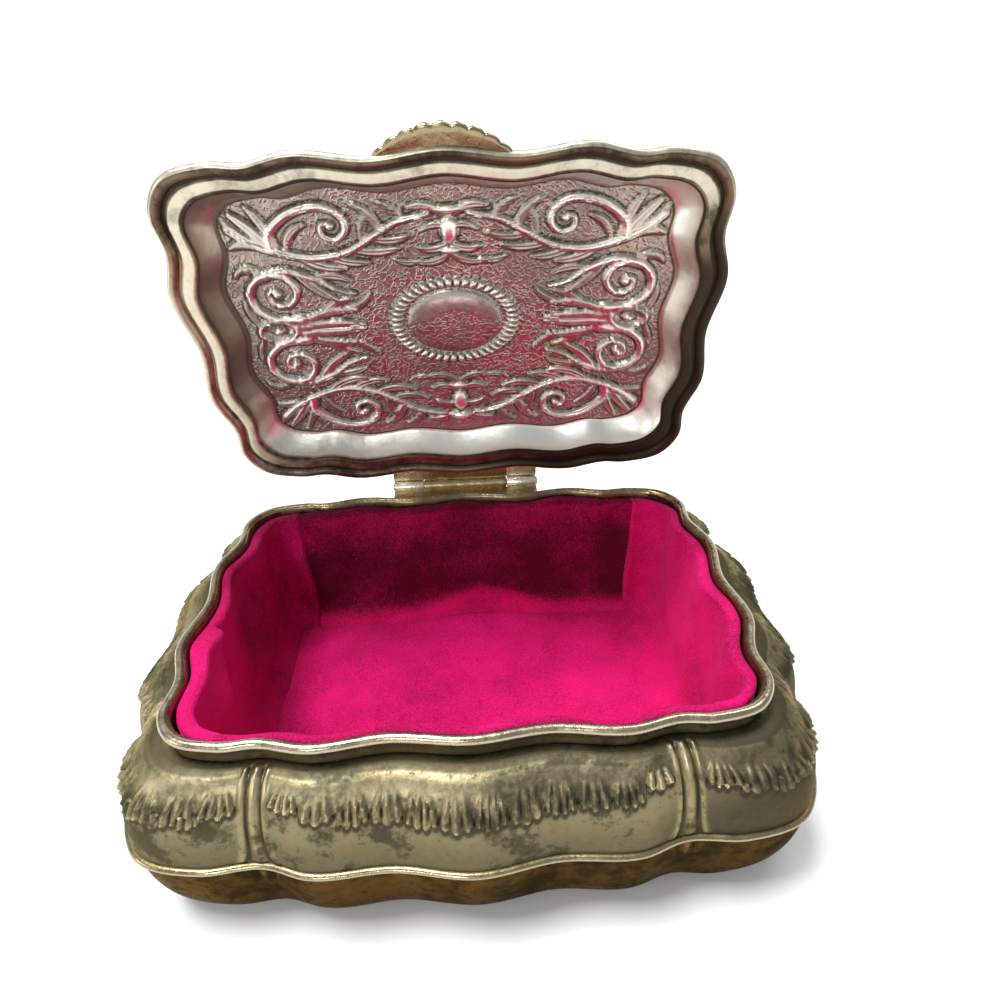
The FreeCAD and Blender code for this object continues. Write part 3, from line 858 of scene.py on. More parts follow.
@dataclass
class BodyShell:
    """Belly, foot, girth ridge and rim of the box."""

    builder: Builder
    swag: Swag = field(default_factory=Swag)
    neck_height: float = 37.0
    neck_rise: float = 3.0
    neck_inset: float = 0.3
    neck_cove: float = 0.25
    bead_height: float = 40.95
    bead_out: float = 1.0
    bead_up: float = 1.05
    rim_wall: float = 1.1
    girth_height: float = 19.5
    band_height: float = 1.4
    band_proud: float = 0.9
    shoulder: float = 0.12
    foot_spread: float = 0.24
    ledge: float = 2.95
    ledge_height: float = 1.2
    wall: float = 1.5
    profile_length: float = 20.5
    strap_half: float = 1.6
    strap_flare: float = 1.1

    def straps(self, place: Array, length: Array, along: float) -> Array:
        """Relief of the reeded strap in each notch, flaring at the girth.

        Args:
            place: distance from the middle of the panel.
            length: the panel's length.
            along: distance from the girth.

        Returns:
            Height of the relief.
        """
        half = self.strap_half + self.strap_flare * math.exp(-along / 2.2)
        part = (length / 2 - np.abs(place)) / half
        return 0.5 * bell(part, 0.0, 0.42) - 0.32 * bell(part, 0.78, 0.2) + 0.3 * bell(part, 1.25, 0.3)

    def belly(self) -> None:
        """Bulging upper half with flutes and straps chased into it."""
        low = self.girth_height + self.band_height / 2
        rise = self.neck_height - low

        def level(angle: float, inset: float, tuck: float = 0.0) -> tuple[float, float, float]:
            """Outline at an angle up the quarter-round profile."""
            turn = math.radians(angle)
            spread = self.shoulder + (1 - self.shoulder) * math.cos(turn)
            return spread, inset, low + (rise - tuck) * math.sin(turn)

        angles = steps(0.0, 90.0, 70)
        inner = [level(90.0, self.wall, 0.2)] + [level(angle, self.wall) for angle in (60.0, 30.0, 0.0)]
        grid = self.builder.rings([level(angle, 0.0) for angle in angles] + inner, 36)
        relief = np.zeros(grid.shape[:2])
        marks = np.zeros(grid.shape[:2])
        for row, angle in enumerate(angles):
            place, length = FORM.panels(grid[row, :, :2])
            along = self.profile_length * angle / 90.0
            fade = ramp(90.0 - angle, 0, 6) * np.clip(angle / 2.0, 0.2, 1)
            straps = self.straps(place, length, along)
            flutes, tone = self.swag.relief(place, length, along)
            relief[row] = fade * (straps + flutes)
            # Painted shade: darker on the right side, in the cove under the bead and in a band above the
            # girth.
            right_side = 0.26 * ramp(grid[row, :, 0], 30, 54)
            shade = right_side + 0.26 * ramp(angle, 75, 80) + 0.18 * bell(angle, 8.0, 26.0)
            # A lighter band on the upper belly, partly speckled wear and partly a painted highlight from
            # above.
            rubbed_and_highlight = 0.36 * ramp(angle, 46, 58) * ramp(77.0 - angle, 0, 5)
            marks[row] = fade * (0.8 * straps + tone) + rubbed_and_highlight - shade
        form = self.builder.emboss(grid, relief, 0)
        self.builder.skin("belly_skin", form, Body.BOX, Slot.PLATE, PLATE, ["belly_shell"], relief=marks)

    def foot(self) -> None:
        """Bowl that rolls in under the girth to the standing ring."""
        top = self.girth_height - self.band_height / 2

        def spread(height: float) -> float:
            """How far the bowl bulges at a height."""
            lean = (top - height) / top * math.sin(math.radians(80))
            return self.foot_spread + (1 - self.foot_spread) * math.sqrt(max(0.0, 1 - lean * lean))

        ground = spread(0.0)
        rows = [(ground, self.ledge, 0.0), (ground, 0.35, 0.0)]
        rows += [(spread(height), 0.0, height) for height in [0.06] + steps(0.3, top, 40)]
        count = len(rows)
        rows += [(spread(height), self.wall, height) for height in (top, 0.6 * top, 1.6)]
        grid = self.builder.rings(rows + [(ground, self.ledge, self.ledge_height)], 20)
        relief = np.zeros(grid.shape[:2])
        for row in range(2, count):
            below = top - rows[row][2]
            strap = self.straps(*FORM.panels(grid[row, :, :2]), below)
            relief[row] = strap * math.exp(-(below / 5.5) ** 2) * min(1.0, 0.25 + below / 1.5)
        form = self.builder.emboss(grid, relief, count - 4)
        self.builder.skin("foot_skin", form, Body.BOX, Slot.PLATE, FOOT, ["foot_shell"], relief=relief / 0.8)

    def strip(self, name: str, rows: Sequence[tuple[float, float, float, float]], finish: MetalFinish,
              node: str) -> None:
        """Moulding that runs round the box.

        Args:
            name: the piece's name.
            rows: spread, inset, height and wear of each outline.
            finish: its metal.
            node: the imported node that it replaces.
        """
        grid = self.builder.rings([row[:3] for row in rows], 20)
        relief = np.repeat(np.array([row[3] for row in rows])[:, None], grid.shape[1], axis=1)
        self.builder.skin(name, grid, Body.BOX, Slot.EDGE, finish, [node], relief=relief)

    def band(self) -> None:
        """Half-round ridge between belly and foot, worn bright."""
        half = self.band_height / 2
        rows = []
        for angle in steps(-90, 90, 13):
            turn = math.radians(angle)
            inset = -self.band_proud * math.cos(turn) - 0.05
            wear = 0.5 if abs(angle) < 70 else -0.2
            rows.append((1.0, inset, self.girth_height + half * math.sin(turn), wear))
        rows += [(1.0, self.wall, self.girth_height + side * half, 0.0) for side in (1, -1)]
        self.strip("girth_ridge", rows, EDGE, "girth_band")

    def rim(self) -> None:
        """Dark recessed neck below a bright rolled bead."""
        rows = [(0.0, self.neck_inset + self.neck_cove * math.sin(math.pi * share),
                 self.neck_height + self.neck_rise * share, -0.12) for share in steps(0.0, 1.0, 7)]
        for angle in steps(-70, 150, 17):
            turn = math.radians(angle)
            inset = 0.05 - self.bead_out * math.cos(turn)
            wear = 0.62 if -10 < angle < 120 else 0.12
            rows.append((0.0, inset, self.bead_height + self.bead_up * math.sin(turn), wear))
        rows += [(0.0, self.rim_wall, height, mark)
                 for height, mark in ((41.2, 0.1), (39.0, -0.2), (self.neck_height, -0.3))]
        self.strip("mouth_bead", rows, RIM, "mouth_rim")

    def build(self) -> None:
        """Make every piece of the shell."""
        self.belly()
        self.foot()
        self.band()
        self.rim()


@dataclass(frozen=True)
class Frond:
    """One tapered leaf blade of the lid's relief, bent through three points."""

    start: tuple[float, float]
    bend: tuple[float, float]
    tip: tuple[float, float]
    width: float = 1.5
    height: float = 0.7

    def line(self, count: int = 14) -> tuple[Array, Array]:
        """Points along the blade and its half width at each."""
        t = np.linspace(0, 1, count)[:, None]
        a, b, c = (np.array(p) for p in (self.start, self.bend, self.tip))
        points = a * (1 - t) ** 2 + b * 2 * t * (1 - t) + c * t * t
        return points, self.width * (0.35 + 0.65 * np.sin(np.pi * (0.2 + 0.75 * t[:, 0])))


@dataclass
class LidRelief:
    """Symmetrical scrolls, leaves and a gadrooned oval, worked out for one quarter of the panel.

    The oval's dome, ring and clear ground end at shares of its half axes. A boss is a middle, two half axes
    and a height. A row of BLADES is what a Frond needs.
    """

    oval_x: float = 15.0
    oval_y: float = 11.2
    petals: int = 23
    dome: float = 0.72
    ring_middle: float = 0.895
    ring_half: float = 0.105
    clear: float = 1.04
    almond: tuple[float, float, float] = (40.2, 4.2, 2.4)
    bosses: tuple[tuple[float, float, float, float, float], ...] = (
        (40.2, 0, 1.5, 0.95, 0.9), (0, 22.4, 1.8, 3.4, 1.15), (0, 27.0, 2.8, 1.0, 1.1),
        (0, 17.8, 2.6, 1.0, 1.0), (38.4, 9.2, 1.1, 1.1, 0.9), (24.2, 24.2, 1.0, 1.0, 0.9))
    BLADES = (
        # leaves towards the corner
        ((37, 19.5), (40, 24), (43.5, 27.5), 1.3, 0.75), ((38.5, 20), (42.5, 22), (45.2, 20.5), 1.2, 0.7),
        ((36, 19.5), (37.5, 25.5), (40, 28.8), 1.1, 0.65), ((40.5, 21), (44, 24.5), (45.5, 26.5), 1.0, 0.6),
        ((41, 15), (44.5, 16.5), (46, 14), 1.0, 0.6), ((34, 20), (33, 23.5), (29.5, 24.5), 1.0, 0.6),
        # leaves from the stem towards the oval
        ((31, 17), (27, 14.2), (22.5, 14.6), 1.2, 0.7), ((26, 17.4), (21.5, 15), (17.5, 15.6), 1.1, 0.65),
        ((29, 12.8), (25, 13.2), (22, 11.4), 1.0, 0.6), ((33, 13.6), (30, 9.5), (26, 7.2), 1.2, 0.7),
        ((20, 18.6), (15, 17.2), (11, 18.6), 1.1, 0.65), ((16, 20.8), (12, 19.6), (8.2, 21.4), 1.0, 0.6),
        ((14, 22.6), (15.5, 26.5), (19, 28.6), 1.1, 0.65), ((18, 20), (18.5, 24), (16.5, 26.6), 0.9, 0.55),
        ((9, 24.6), (10.5, 27.4), (13.6, 28.8), 0.9, 0.55),
        # bundle at the middle of a side
        ((36, 0.5), (29, 1.6), (21, 0.5), 1.2, 0.75), ((35.5, 1.4), (29.5, 4.8), (22, 4.2), 1.2, 0.7),
        ((24, 4.4), (20, 5.2), (18.5, 8), 0.9, 0.6), ((44.5, 2.5), (46, 5), (45.8, 8), 0.8, 0.5),
        ((30, 3.4), (27, 6.4), (23, 7), 1.0, 0.6),
        # baluster at the middle of the front and back
        ((0.8, 26), (4, 28.4), (8, 27.6), 1.1, 0.7), ((0.9, 23.2), (3.6, 24.2), (5.6, 22.4), 0.9, 0.6),
        ((0.8, 19), (3.6, 17.2), (6.4, 18.6), 1.0, 0.65), ((0.5, 16.6), (3.5, 14.2), (7.5, 15.2), 0.9, 0.55),
        ((6.5, 15.4), (9.5, 14.4), (12, 16), 0.8, 0.5),
    )

    @staticmethod
    def flow(points: Sequence[tuple[float, float]], count: int = 9) -> Array:
        """Smooth line through points.

        Args:
            points: what the line goes through.
            count: points for each span.

        Returns:
            The line's points.
        """
        row = np.array(points, float)
        row = np.vstack([2 * row[0] - row[1], row, 2 * row[-1] - row[-2]])
        t = np.linspace(0, 1, count, endpoint=False)[:, None]
        parts = []
        for a, b, c, d in zip(row[:-3], row[1:-2], row[2:-1], row[3:]):
            square = 2 * a - 5 * b + 4 * c - d
            cube = 3 * b - a - 3 * c + d
            parts.append(0.5 * (2 * b + (c - a) * t + square * t * t + cube * t ** 3))
        return np.vstack(parts + [row[-2:-1]])

    def scrolls(self) -> list[tuple[Array, float, float, float]]:
        """Centre lines of the curls with their half widths at both ends and their height."""
        stem = [(4.5, 26), (11, 24.4), (16, 21.4), (22, 18.2), (29, 17.2), (36, 19), (41, 21.5), (44.5, 24.5)]
        front_curl = [(37, 19.5), (36.6, 23.4), (31.8, 27.2), (26, 28.4), (22, 26.6), (21.2, 23.4),
                      (23.4, 21.2), (26, 22.2), (26, 24.4), (24.4, 24.8)]
        side_curl = [(34.2, 2.9), (39.5, 3), (43.8, 6.4), (43.8, 11), (40, 14), (35.6, 12.8), (34.2, 9.3),
                     (36.4, 6.6), (39.5, 7.1), (40.2, 9.6), (38.6, 10.3)]
        tail = [(41.5, 13.4), (36, 14.6), (30, 12.6), (25.5, 9.6), (21.5, 8.4)]
        return [(self.flow(stem), 0.8, 1.2, 0.9), (self.flow(front_curl), 1.25, 0.6, 0.95),
                (self.flow(side_curl), 1.2, 0.65, 0.95), (self.flow(tail), 1.3, 0.5, 0.85)]

    @staticmethod
    def distance(x: Array, y: Array, line: Array, half: Array) -> Array:
        """Distance from a line of points, in half widths of the line."""
        far = np.full_like(x, 9.0)
        box = (x > line[:, 0].min() - 3) & (x < line[:, 0].max() + 3)
        box &= (y > line[:, 1].min() - 3) & (y < line[:, 1].max() + 3)
        px, py = x[box], y[box]
        best = np.full_like(px, 9.0)
        for (ax, ay), (bx, by), wide in zip(line[:-1], line[1:], half):
            dx, dy = bx - ax, by - ay
            share = np.clip(((px - ax) * dx + (py - ay) * dy) / max(dx * dx + dy * dy, 1e-9), 0, 1)
            best = np.minimum(best, np.hypot(px - ax - share * dx, py - ay - share * dy) / wide)
        far[box] = best
        return far

    def height(self, x: Array, y: Array) -> tuple[Array, Array]:
        """Relief over the panel.

        Args:
            x: distance right of the middle.
            y: distance behind the middle.

        Returns:
            Height of the relief in millimetres, and a tone that is lighter on the ridges and darker beside
            them, with a painted highlight across the front half of the dome.
        """
        across, along = np.abs(x), np.abs(y)
        ridges = []
        for line, first, last, tall in self.scrolls():
            away = self.distance(across, along, line, np.linspace(first, last, len(line)))
            ridges.append((away, tall, 0.22 * bell(away, 0.35, 0.16)))
        for row in self.BLADES:
            blade = Frond(*row)
            away = self.distance(across, along, *blade.line())
            ridges.append((away, blade.height, 0.2 * bell(away, 0.0, 0.2)))
        for centre_x, centre_y, half_x, half_y, tall in self.bosses:
            ridges.append((np.hypot((across - centre_x) / half_x, (along - centre_y) / half_y), tall, 0.0))
        best = np.zeros_like(across)
        near = np.full_like(across, 9.0)
        for away, tall, groove in ridges:
            best = np.maximum(best, tall * np.sqrt(np.maximum(0, 1 - away ** 2)) - groove)
            near = np.minimum(near, away)
        centre_x, half_x, half_y = self.almond
        best = np.maximum(best, 0.8 * bell(np.hypot((across - centre_x) / half_x, along / half_y), 1.0, 0.2))
        oval = np.hypot(x / self.oval_x, y / self.oval_y)
        turn = np.arctan2(y / self.oval_y, x / self.oval_x)
        lobes = 0.25 + 0.75 * np.abs(np.cos(self.petals * turn)) ** 0.8
        petal = 0.9 * np.sqrt(np.maximum(0, 1 - ((oval - self.ring_middle) / self.ring_half) ** 2)) * lobes
        inside = oval < self.clear
        between = (oval > self.ring_middle - self.ring_half) & (lobes < 0.6)
        near = np.where(inside, np.where(between, 1.05, 9.0), near)
        dome = 0.85 * np.maximum(0, 1 - (oval / self.dome) ** 2) ** 0.35
        best = np.maximum(np.where(inside, dome, best), petal)
        tone = np.where(best > 0.12, best / 0.9, 0.06 - 0.55 * ramp(1.7 - near, 0, 0.7))
        # Painted highlight: a lit band across the front half of the dome.
        lit = 0.12 + 0.7 * bell(oval, 0.52, 0.16) * np.clip(-2 * y / self.oval_y, 0, 1)
        return best, np.where(oval < self.dome - 0.02, lit, tone)


@dataclass
class Lid:
    """Rolled rim, embossed pressing and thumb-piece of the lid, drawn shut and swung open."""

    builder: Builder
    relief: LidRelief = field(default_factory=LidRelief)
    floor: float = 42.3
    bead: float = 1.15
    flange: float = 4.4
    flange_under: float = 43.2
    taper: float = 3.6
    wall_top: float = 49.9
    wall_foot: float = 44.3
    wall_rows: int = 9
    crown: float = 1.8
    sheet: float = 0.9
    emboss: float = 1.3
    thumb_half: float = 12.9
    thumb_sink: float = 1.2
    thumb_reach: float = 3.9
    gadroons: int = 9

    def rim(self) -> None:
        """Rolled bead, groove and flat flange."""
        rows: list[tuple[float, float, float]] = []
        for angle in steps(-165, 140, 25):
            turn = math.radians(angle)
            rows.append((-0.05 - self.bead * math.cos(turn), self.floor + self.bead * (1 + math.sin(turn)),
                         0.3 if abs(angle) < 70 else -0.05))
        top, under, inner = self.wall_foot, self.flange_under, self.flange
        rows += [(1.25, top - 0.3, -0.2), (1.7, top, 0.1), (3.0, top, 0.2), (inner, top, 0.2)]
        rows += [(inner + 0.02, under + 0.15, -0.3), (inner - 0.12, under + 0.05, -0.2), (3.6, under, 0.3),
                 (2.7, under, 0.3), (2.1, under + 0.02, 0.3), (1.8, under + 0.08, 0.1),
                 (1.5, under + 0.3, -0.25), (1.2, under + 0.3, -0.3)]
        grid = self.builder.rings([(0.0, inset, height) for inset, height, _ in rows], 20)
        marks = np.array([mark for _, _, mark in rows])[:, None]
        # Painted reflection and light: the edge that is on top when the lid is open is painted pale for the
        # bright surroundings that it mirrors, and elsewhere the left side is painted lighter and the right
        # side darker.
        sky_reflection = ramp(-grid[..., 1], 14, 32)
        left = np.clip(-grid[..., 0] / 40.0, -1, 1.3) * (1 - sky_reflection)
        self.builder.skin("lid_bead_and_flange", self.builder.pose.swing(grid), Body.LID, Slot.LID, LID_EDGE,
                          ["lid_rim"], relief=marks * (0.4 + 1.5 * sky_reflection) - 0.1 * (1 - sky_reflection) + 0.42 * left)

    def pressing(self, name: str, per_span: int, rings: int, lift: float, sign: float,
                 nodes: Sequence[str]) -> None:
        """One face of the pressing: the leaning wall in a plainer finish and the relief panel.

        Args:
            name: the piece's name.
            per_span: points in each span of the outline.
            rings: rows from the wall to the middle of the panel.
            lift: how far the face lies above the inner one.
            sign: which way the relief stands up.
            nodes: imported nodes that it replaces.
        """
        foot = self.flange - lift
        rise = self.wall_top - self.wall_foot + lift
        wall = self.builder.rings([(0.0, foot + self.taper * share ** 1.5, self.wall_foot + rise * share)
                                   for share in steps(0.0, 1.0, self.wall_rows)], per_span)
        edge = FORM.ring(0.0, foot + self.taper, per_span)
        shares = np.linspace(1.0, 0.0, rings + 2)[1:-1] ** 0.85
        levels = self.wall_top + lift + self.crown * (1 - shares ** 2)
        panel = np.stack([np.column_stack([edge * share, np.full(len(edge), level)])
                          for share, level in zip(shares, levels)])
        relief, marks = self.relief.height(panel[..., 0], panel[..., 1])
        fade = ramp(1.0 - shares, 0, 0.03)[:, None]
        panel[..., 2] += sign * self.emboss * relief * fade
        # Painted light on the wall: lighter at the front edge and at the hinge side, lighter on the right and
        # darker on the left.
        tone = 0.1 + 0.75 * ramp(wall[..., 1], 16, 24) + 0.4 * ramp(-wall[..., 1], 16, 24)
        tone += 0.4 * np.clip(wall[..., 0] / 40.0, -0.7, 1)
        # The wall's first and last rows and the panel's two outer rows are darkened.
        tone[[0, -1]] -= 0.5
        border = 0.35 * (np.arange(rings) < 2)[:, None]
        pole = self.builder.pose.swing(np.array([0.0, 0.0, panel[-1, :, 2].mean()]))
        grid = self.builder.pose.swing(np.concatenate([wall, panel])[::-1])
        item = self.builder.skin(name, grid, Body.LID, Slot.LID, PANEL, nodes, False, [pole],
                                 np.concatenate([tone, marks * fade - border])[::-1], 60.0)
        item.data.materials.append(self.builder.palette.metal(WALL))
        columns = per_span * FORM.SPANS
        which = np.zeros(len(item.data.polygons), np.int32)
        which[(rings - 1) * columns:(rings + self.wall_rows - 1) * columns] = 1
        item.data.polygons.foreach_set("material_index", which)

    def shell(self) -> None:
        """Inner and outer faces of the pressing."""
        self.pressing("lid_inner_panel", 15, 128, 0.0, -1.0, ["lid_shell"])
        self.pressing("lid_outer_panel", 11, 84, self.sheet, 1.0, [])

    def thumb(self) -> None:
        """Crescent of gadroons that fan out from the lid's front edge."""
        edge = FORM.MOUTH.front + FORM.MOUTH.centre_swell + 0.05
        rise = self.thumb_reach + self.thumb_sink
        radius = (self.thumb_half ** 2 + rise ** 2) / (2 * rise)
        centre = radius - edge - self.thumb_reach
        along = np.linspace(-1, 1, 20 * self.gadroons + 1)
        turn = along * math.asin(self.thumb_half / radius)
        swell = np.abs(np.sin(np.pi * (along + 1) / 2 * self.gadroons))
        shrink = 0.55 + 0.45 * np.cos(along * math.pi / 2)
        under = [(-3.0, -0.3), (-2.2, -0.5), (-0.6, -0.75), (0.35, -0.95), (0.75, -0.75)]
        loop, marks = [], []
        for out, up in under + [(1.0, 0.0)] + [(out, -up) for out, up in under[::-1]]:
            outer = out * (0.55 + 0.7 * swell ** 0.6) * shrink
            arm = radius + (outer if out > 0 else out * (2.2 * shrink - 1.2))
            tall = up * shrink * (0.55 + 0.75 * swell ** 0.7 if up > 0 else 0.8)
            level = self.floor + self.bead + tall
            loop.append(np.column_stack([arm * np.sin(turn), centre - arm * np.cos(turn), level]))
            marks.append(-0.25 + 0.9 * swell ** 0.7 if out > 0.5 else np.full(len(along), 0.35))
        grid = self.builder.pose.swing(np.stack(loop, axis=1))
        self.builder.skin("thumb_gadroons", grid, Body.LID, Slot.EDGE, EDGE, ["thumb_piece"], False,
                          end_points(grid), np.stack(marks, axis=1), 70.0)

    def build(self) -> None:
        """Make every piece of the lid."""
        self.rim()
        self.shell()
        self.thumb()


@dataclass
class Lining:
    """Velvet floor pad and the four covered sides."""

    builder: Builder
    floor: float = 3.4
    top: float = 40.5
    crest_inset: float = 2.9
    pad_half_x: float = 49.9
    pad_half_y: float = 33.8
    pad_corner: float = 5.2
    pad_height: float = 2.6
    pad_crown: float = 0.9
    stuffing_scale: float = 10.0
    stuffing_voxel: float = 0.013
    stuffing_pressure: float = 4.0
    stuffing_frames: int = 14
    stuffing_cap: float = 0.35
    hump_height: float = 3.4
    hump_x: float = 3.0
    hump_y: float = 34.5
    hump_half_x: float = 15.0
    hump_half_y: float = 8.0
    foot_roll: float = 3.4
    side_half_x: float = 51.0
    side_half_y: float = 34.9
    side_corner: float = 6.3
    panel_half: float = 44.6
    panel_y: float = 35.4

    @staticmethod
    def ripple(a: Array, b: Array, seed: float) -> Array:
        """Soft unevenness of padding, the same each time."""
        wave = np.sin(0.21 * a + 1.7 * seed) * np.sin(0.17 * b + 0.9 * seed)
        wave += 0.6 * np.sin(0.43 * a - 0.31 * b + 2.3 * seed)
        return wave + 0.35 * np.sin(0.83 * a + 0.57 * b + 4.1 * seed)

    def section(self, count: int) -> Array:
        """Upright section of a velvet side, as offsets towards the middle and heights.

        Args:
            count: points up the inner face.

        Returns:
            Two columns, going up the inner face and down the back.
        """
        rows = [(0.62, self.floor + 0.12)]
        rows += [(0.7, z) for z in steps(self.floor + 0.5, self.top - 0.9, count)]
        lip = ((0.55, 0.42), (0.2, 0.1), (-0.35, 0.0), (-0.95, 0.06), (-1.4, 0.35), (-1.5, 0.8), (-1.48, 1.3),
               (-0.66, 1.38))
        rows += [(offset, self.top - drop) for offset, drop in lip]
        rows += [(-0.66, z) for z in steps(self.top - 2.0, self.floor + 0.12, 12)]
        return np.array(rows)

    def card_section(self) -> Array:
        """Upright section of the card behind a velvet side."""
        up = [(-0.7, z) for z in steps(self.floor, self.top - 1.45, 14)]
        return np.array(up + [(-1.5, z) for z in steps(self.top - 1.45, self.floor, 14)])

    def crest(self, path: Array) -> Array:
        """Line of a side's top edge, which follows the mouth from inside."""
        ring = FORM.ring(0.0, self.crest_inset, 40)
        turn = np.arctan2(ring[:, 1], ring[:, 0])
        order = np.argsort(turn)
        angle = np.arctan2(path[:, 1], path[:, 0])
        reach = np.interp(angle, turn[order], np.hypot(*ring.T)[order], period=2 * math.pi)
        return reach[:, None] * np.column_stack([np.cos(angle), np.sin(angle)])

    def sweep(self, path: Array, profile: Array, seed: float, fold: Optional[Fold]) -> Array:
        """Carry an upright section along a side, leaning out to the mouth at the top.

        Args:
            path: points along the foot of the side, with the inside on the left.
            profile: offsets and heights of the section.
            seed: picks the unevenness.
            fold: extra depth from the distance along and the height, or nothing for a stiff card.

        Returns:
            A grid of points, one row for each point of the path.
        """
        crest = self.crest(path)
        heading = np.gradient(path, axis=0)
        heading /= np.linalg.norm(heading, axis=1, keepdims=True)
        inward = np.column_stack([-heading[:, 1], heading[:, 0]])
        run = np.concatenate([[0.0], np.cumsum(np.linalg.norm(np.diff(path, axis=0), axis=1))])
        away = np.minimum(run, run[-1] - run)
        ends = np.sqrt(np.clip(1 - (1 - np.clip(away / 0.9, 0, 1)) ** 2, 0, 1))
        grid = np.zeros((len(path), len(profile), 3))
        for column, (offset, height) in enumerate(profile):
            share = ramp(height, self.floor, self.top)
            line = path + (crest - path) * smooth(share, 0.2, 0.95)
            depth = np.full(len(path), float(offset))
            if fold is not None and offset > 0.1:
                swell = math.sin(math.pi * share)
                depth += 0.3 * swell ** 0.5 + 0.16 * self.ripple(run, np.full(len(run), height), seed) * swell
                depth += self.foot_roll * max(0.0, 1 - (height - self.floor - 2.4) / 8.5) ** 2
                depth += fold(run, height)
                depth *= 0.1 + 0.9 * ends
            grid[:, column, :2] = line + inward * depth[:, None]
            grid[:, column, 2] = height
            if fold is not None and height > self.top - 1.5:
                grid[:, column, 2] += 0.3 * np.sin(0.21 * run + seed) + 0.15 * np.sin(0.55 * run + 2 * seed)
        return grid

    def cover(self, name: str, path: Array, seed: float, fold: Fold,
              painted_light: Callable[[Array], Array]) -> None:
        """Velvet and card of one side.

        Args:
            name: which side it is.
            path: points along the foot of the side, with the inside on the left.
            seed: picks the unevenness.
            fold: extra depth from the distance along and the height.
            painted_light: painted light and shade at each point.
        """
        grid = self.sweep(path, self.section(46), seed, fold)
        # Painted shade: the top edges are darkened where they catch the light.
        lip = 0.3 * ramp(grid[..., 2], self.top - 1.4, self.top - 0.5)
        item = self.builder.grid(f"{name}_velvet_cover", grid, False, end_points(grid), painted_light(grid) - lip, 75.0)
        velvet = self.builder.palette.velvet(VELVET)
        self.builder.place(item, Body.BOX, Slot.VELVET, velvet, [f"{name}_velvet"])
        stiff = self.sweep(path[1:-1], self.card_section(), seed, None)
        board = self.builder.grid(f"{name}_card_board", stiff, False, end_points(stiff))
        self.builder.place(board, Body.BOX, Slot.CARD, self.builder.palette.card(), [f"{name}_card"])

    def sides(self) -> None:
        """Four covered sides, the ends bent round the corners with edges that stand free."""
        radius, half_x, half_y = self.side_corner, self.side_half_x, self.side_half_y
        turn = np.radians(np.linspace(-87.0, 0.0, 24))
        middle = (half_x - radius, radius - half_y)
        arc = middle + radius * np.column_stack([np.cos(turn), np.sin(turn)])
        straight = np.column_stack([np.full(100, half_x), np.linspace(arc[-1, 1], -arc[-1, 1], 102)[1:-1]])
        lap = np.column_stack([np.linspace(self.panel_half - 2.0, arc[0, 0], 7)[:-1], np.full(6, arc[0, 1])])
        arc = np.vstack([lap, arc])
        right = np.vstack([arc, straight, (arc * (1, -1))[::-1]])

        def free_edge(run: Array, height: float, at: float) -> Array:
            """Edge of the cloth that stands off the wall."""
            share = ramp(height, self.floor, self.top)
            return 1.1 * np.exp(-((run - at) / 5.0) ** 2) * math.sin(math.pi * share) ** 0.6

        def left_fold(run: Array, height: float) -> Array:
            """Flap of loose cloth on the left."""
            line = run - 47.0 - 0.55 * (self.top - height)
            flap = 3.0 / (1 + np.exp(-line / 0.4)) * np.exp(-np.clip(line, 0, 60) / 15.0)
            loose = ramp(height, 18, 30) * (flap - 0.5 * bell(line, -1.6, 1.5))
            return free_edge(run, height, 0.0) + loose + 0.25 * np.sin(0.23 * run + 0.1 * height)

        def right_fold(run: Array, height: float) -> Array:
            """Two soft rolls on the right."""
            roll = 1.0 * bell(run - 0.4 * (self.top - height), 40.0, 6.5) + 0.7 * bell(run, 22.0, 5.0)
            wave = 0.2 * np.sin(0.21 * run - 0.12 * height)
            return free_edge(run, height, 81.0) + ramp(height, 24, 34) * roll + wave

        def soft(run: Array, height: float) -> Array:
            """Slight waves of a stretched cover."""
            return 0.15 * np.sin(0.19 * run + 0.11 * height)

        def painted_light_left(grid: Array) -> Array:
            """Painted light in front and painted shade behind."""
            return 0.36 - 0.66 * ramp(grid[..., 1], -14, 6) + 0.1 * ramp(grid[..., 2], 34, 39)

        def painted_light_right(grid: Array) -> Array:
            """Painted shade that darkens the side a little behind."""
            return 0.1 - 0.18 * ramp(grid[..., 1], 8, 28)

        def painted_shade_back(grid: Array) -> Array:
            """Painted shade above a lighter foot."""
            foot = 6.5 + 5.5 * bell(grid[..., 0], 3.0, 12.0)
            return (-0.74 + 0.28 * ramp(grid[..., 2], 28, 38)) * smooth(grid[..., 2], foot, foot + 5.0)

        def painted_light_front(grid: Array) -> Array:
            """Even painted light."""
            return np.full(grid.shape[:2], 0.12)

        self.cover("right", right, 1.0, right_fold, painted_light_right)
        self.cover("left", right * (-1, -1), 2.0, left_fold, painted_light_left)
        flat = np.linspace(-self.panel_half, self.panel_half, 130)
        self.cover("front", np.column_stack([flat, np.full(130, -self.panel_y)]), 3.0, soft, painted_light_front)
        self.cover("back", np.column_stack([-flat, np.full(130, self.panel_y)]), 4.0, soft, painted_shade_back)

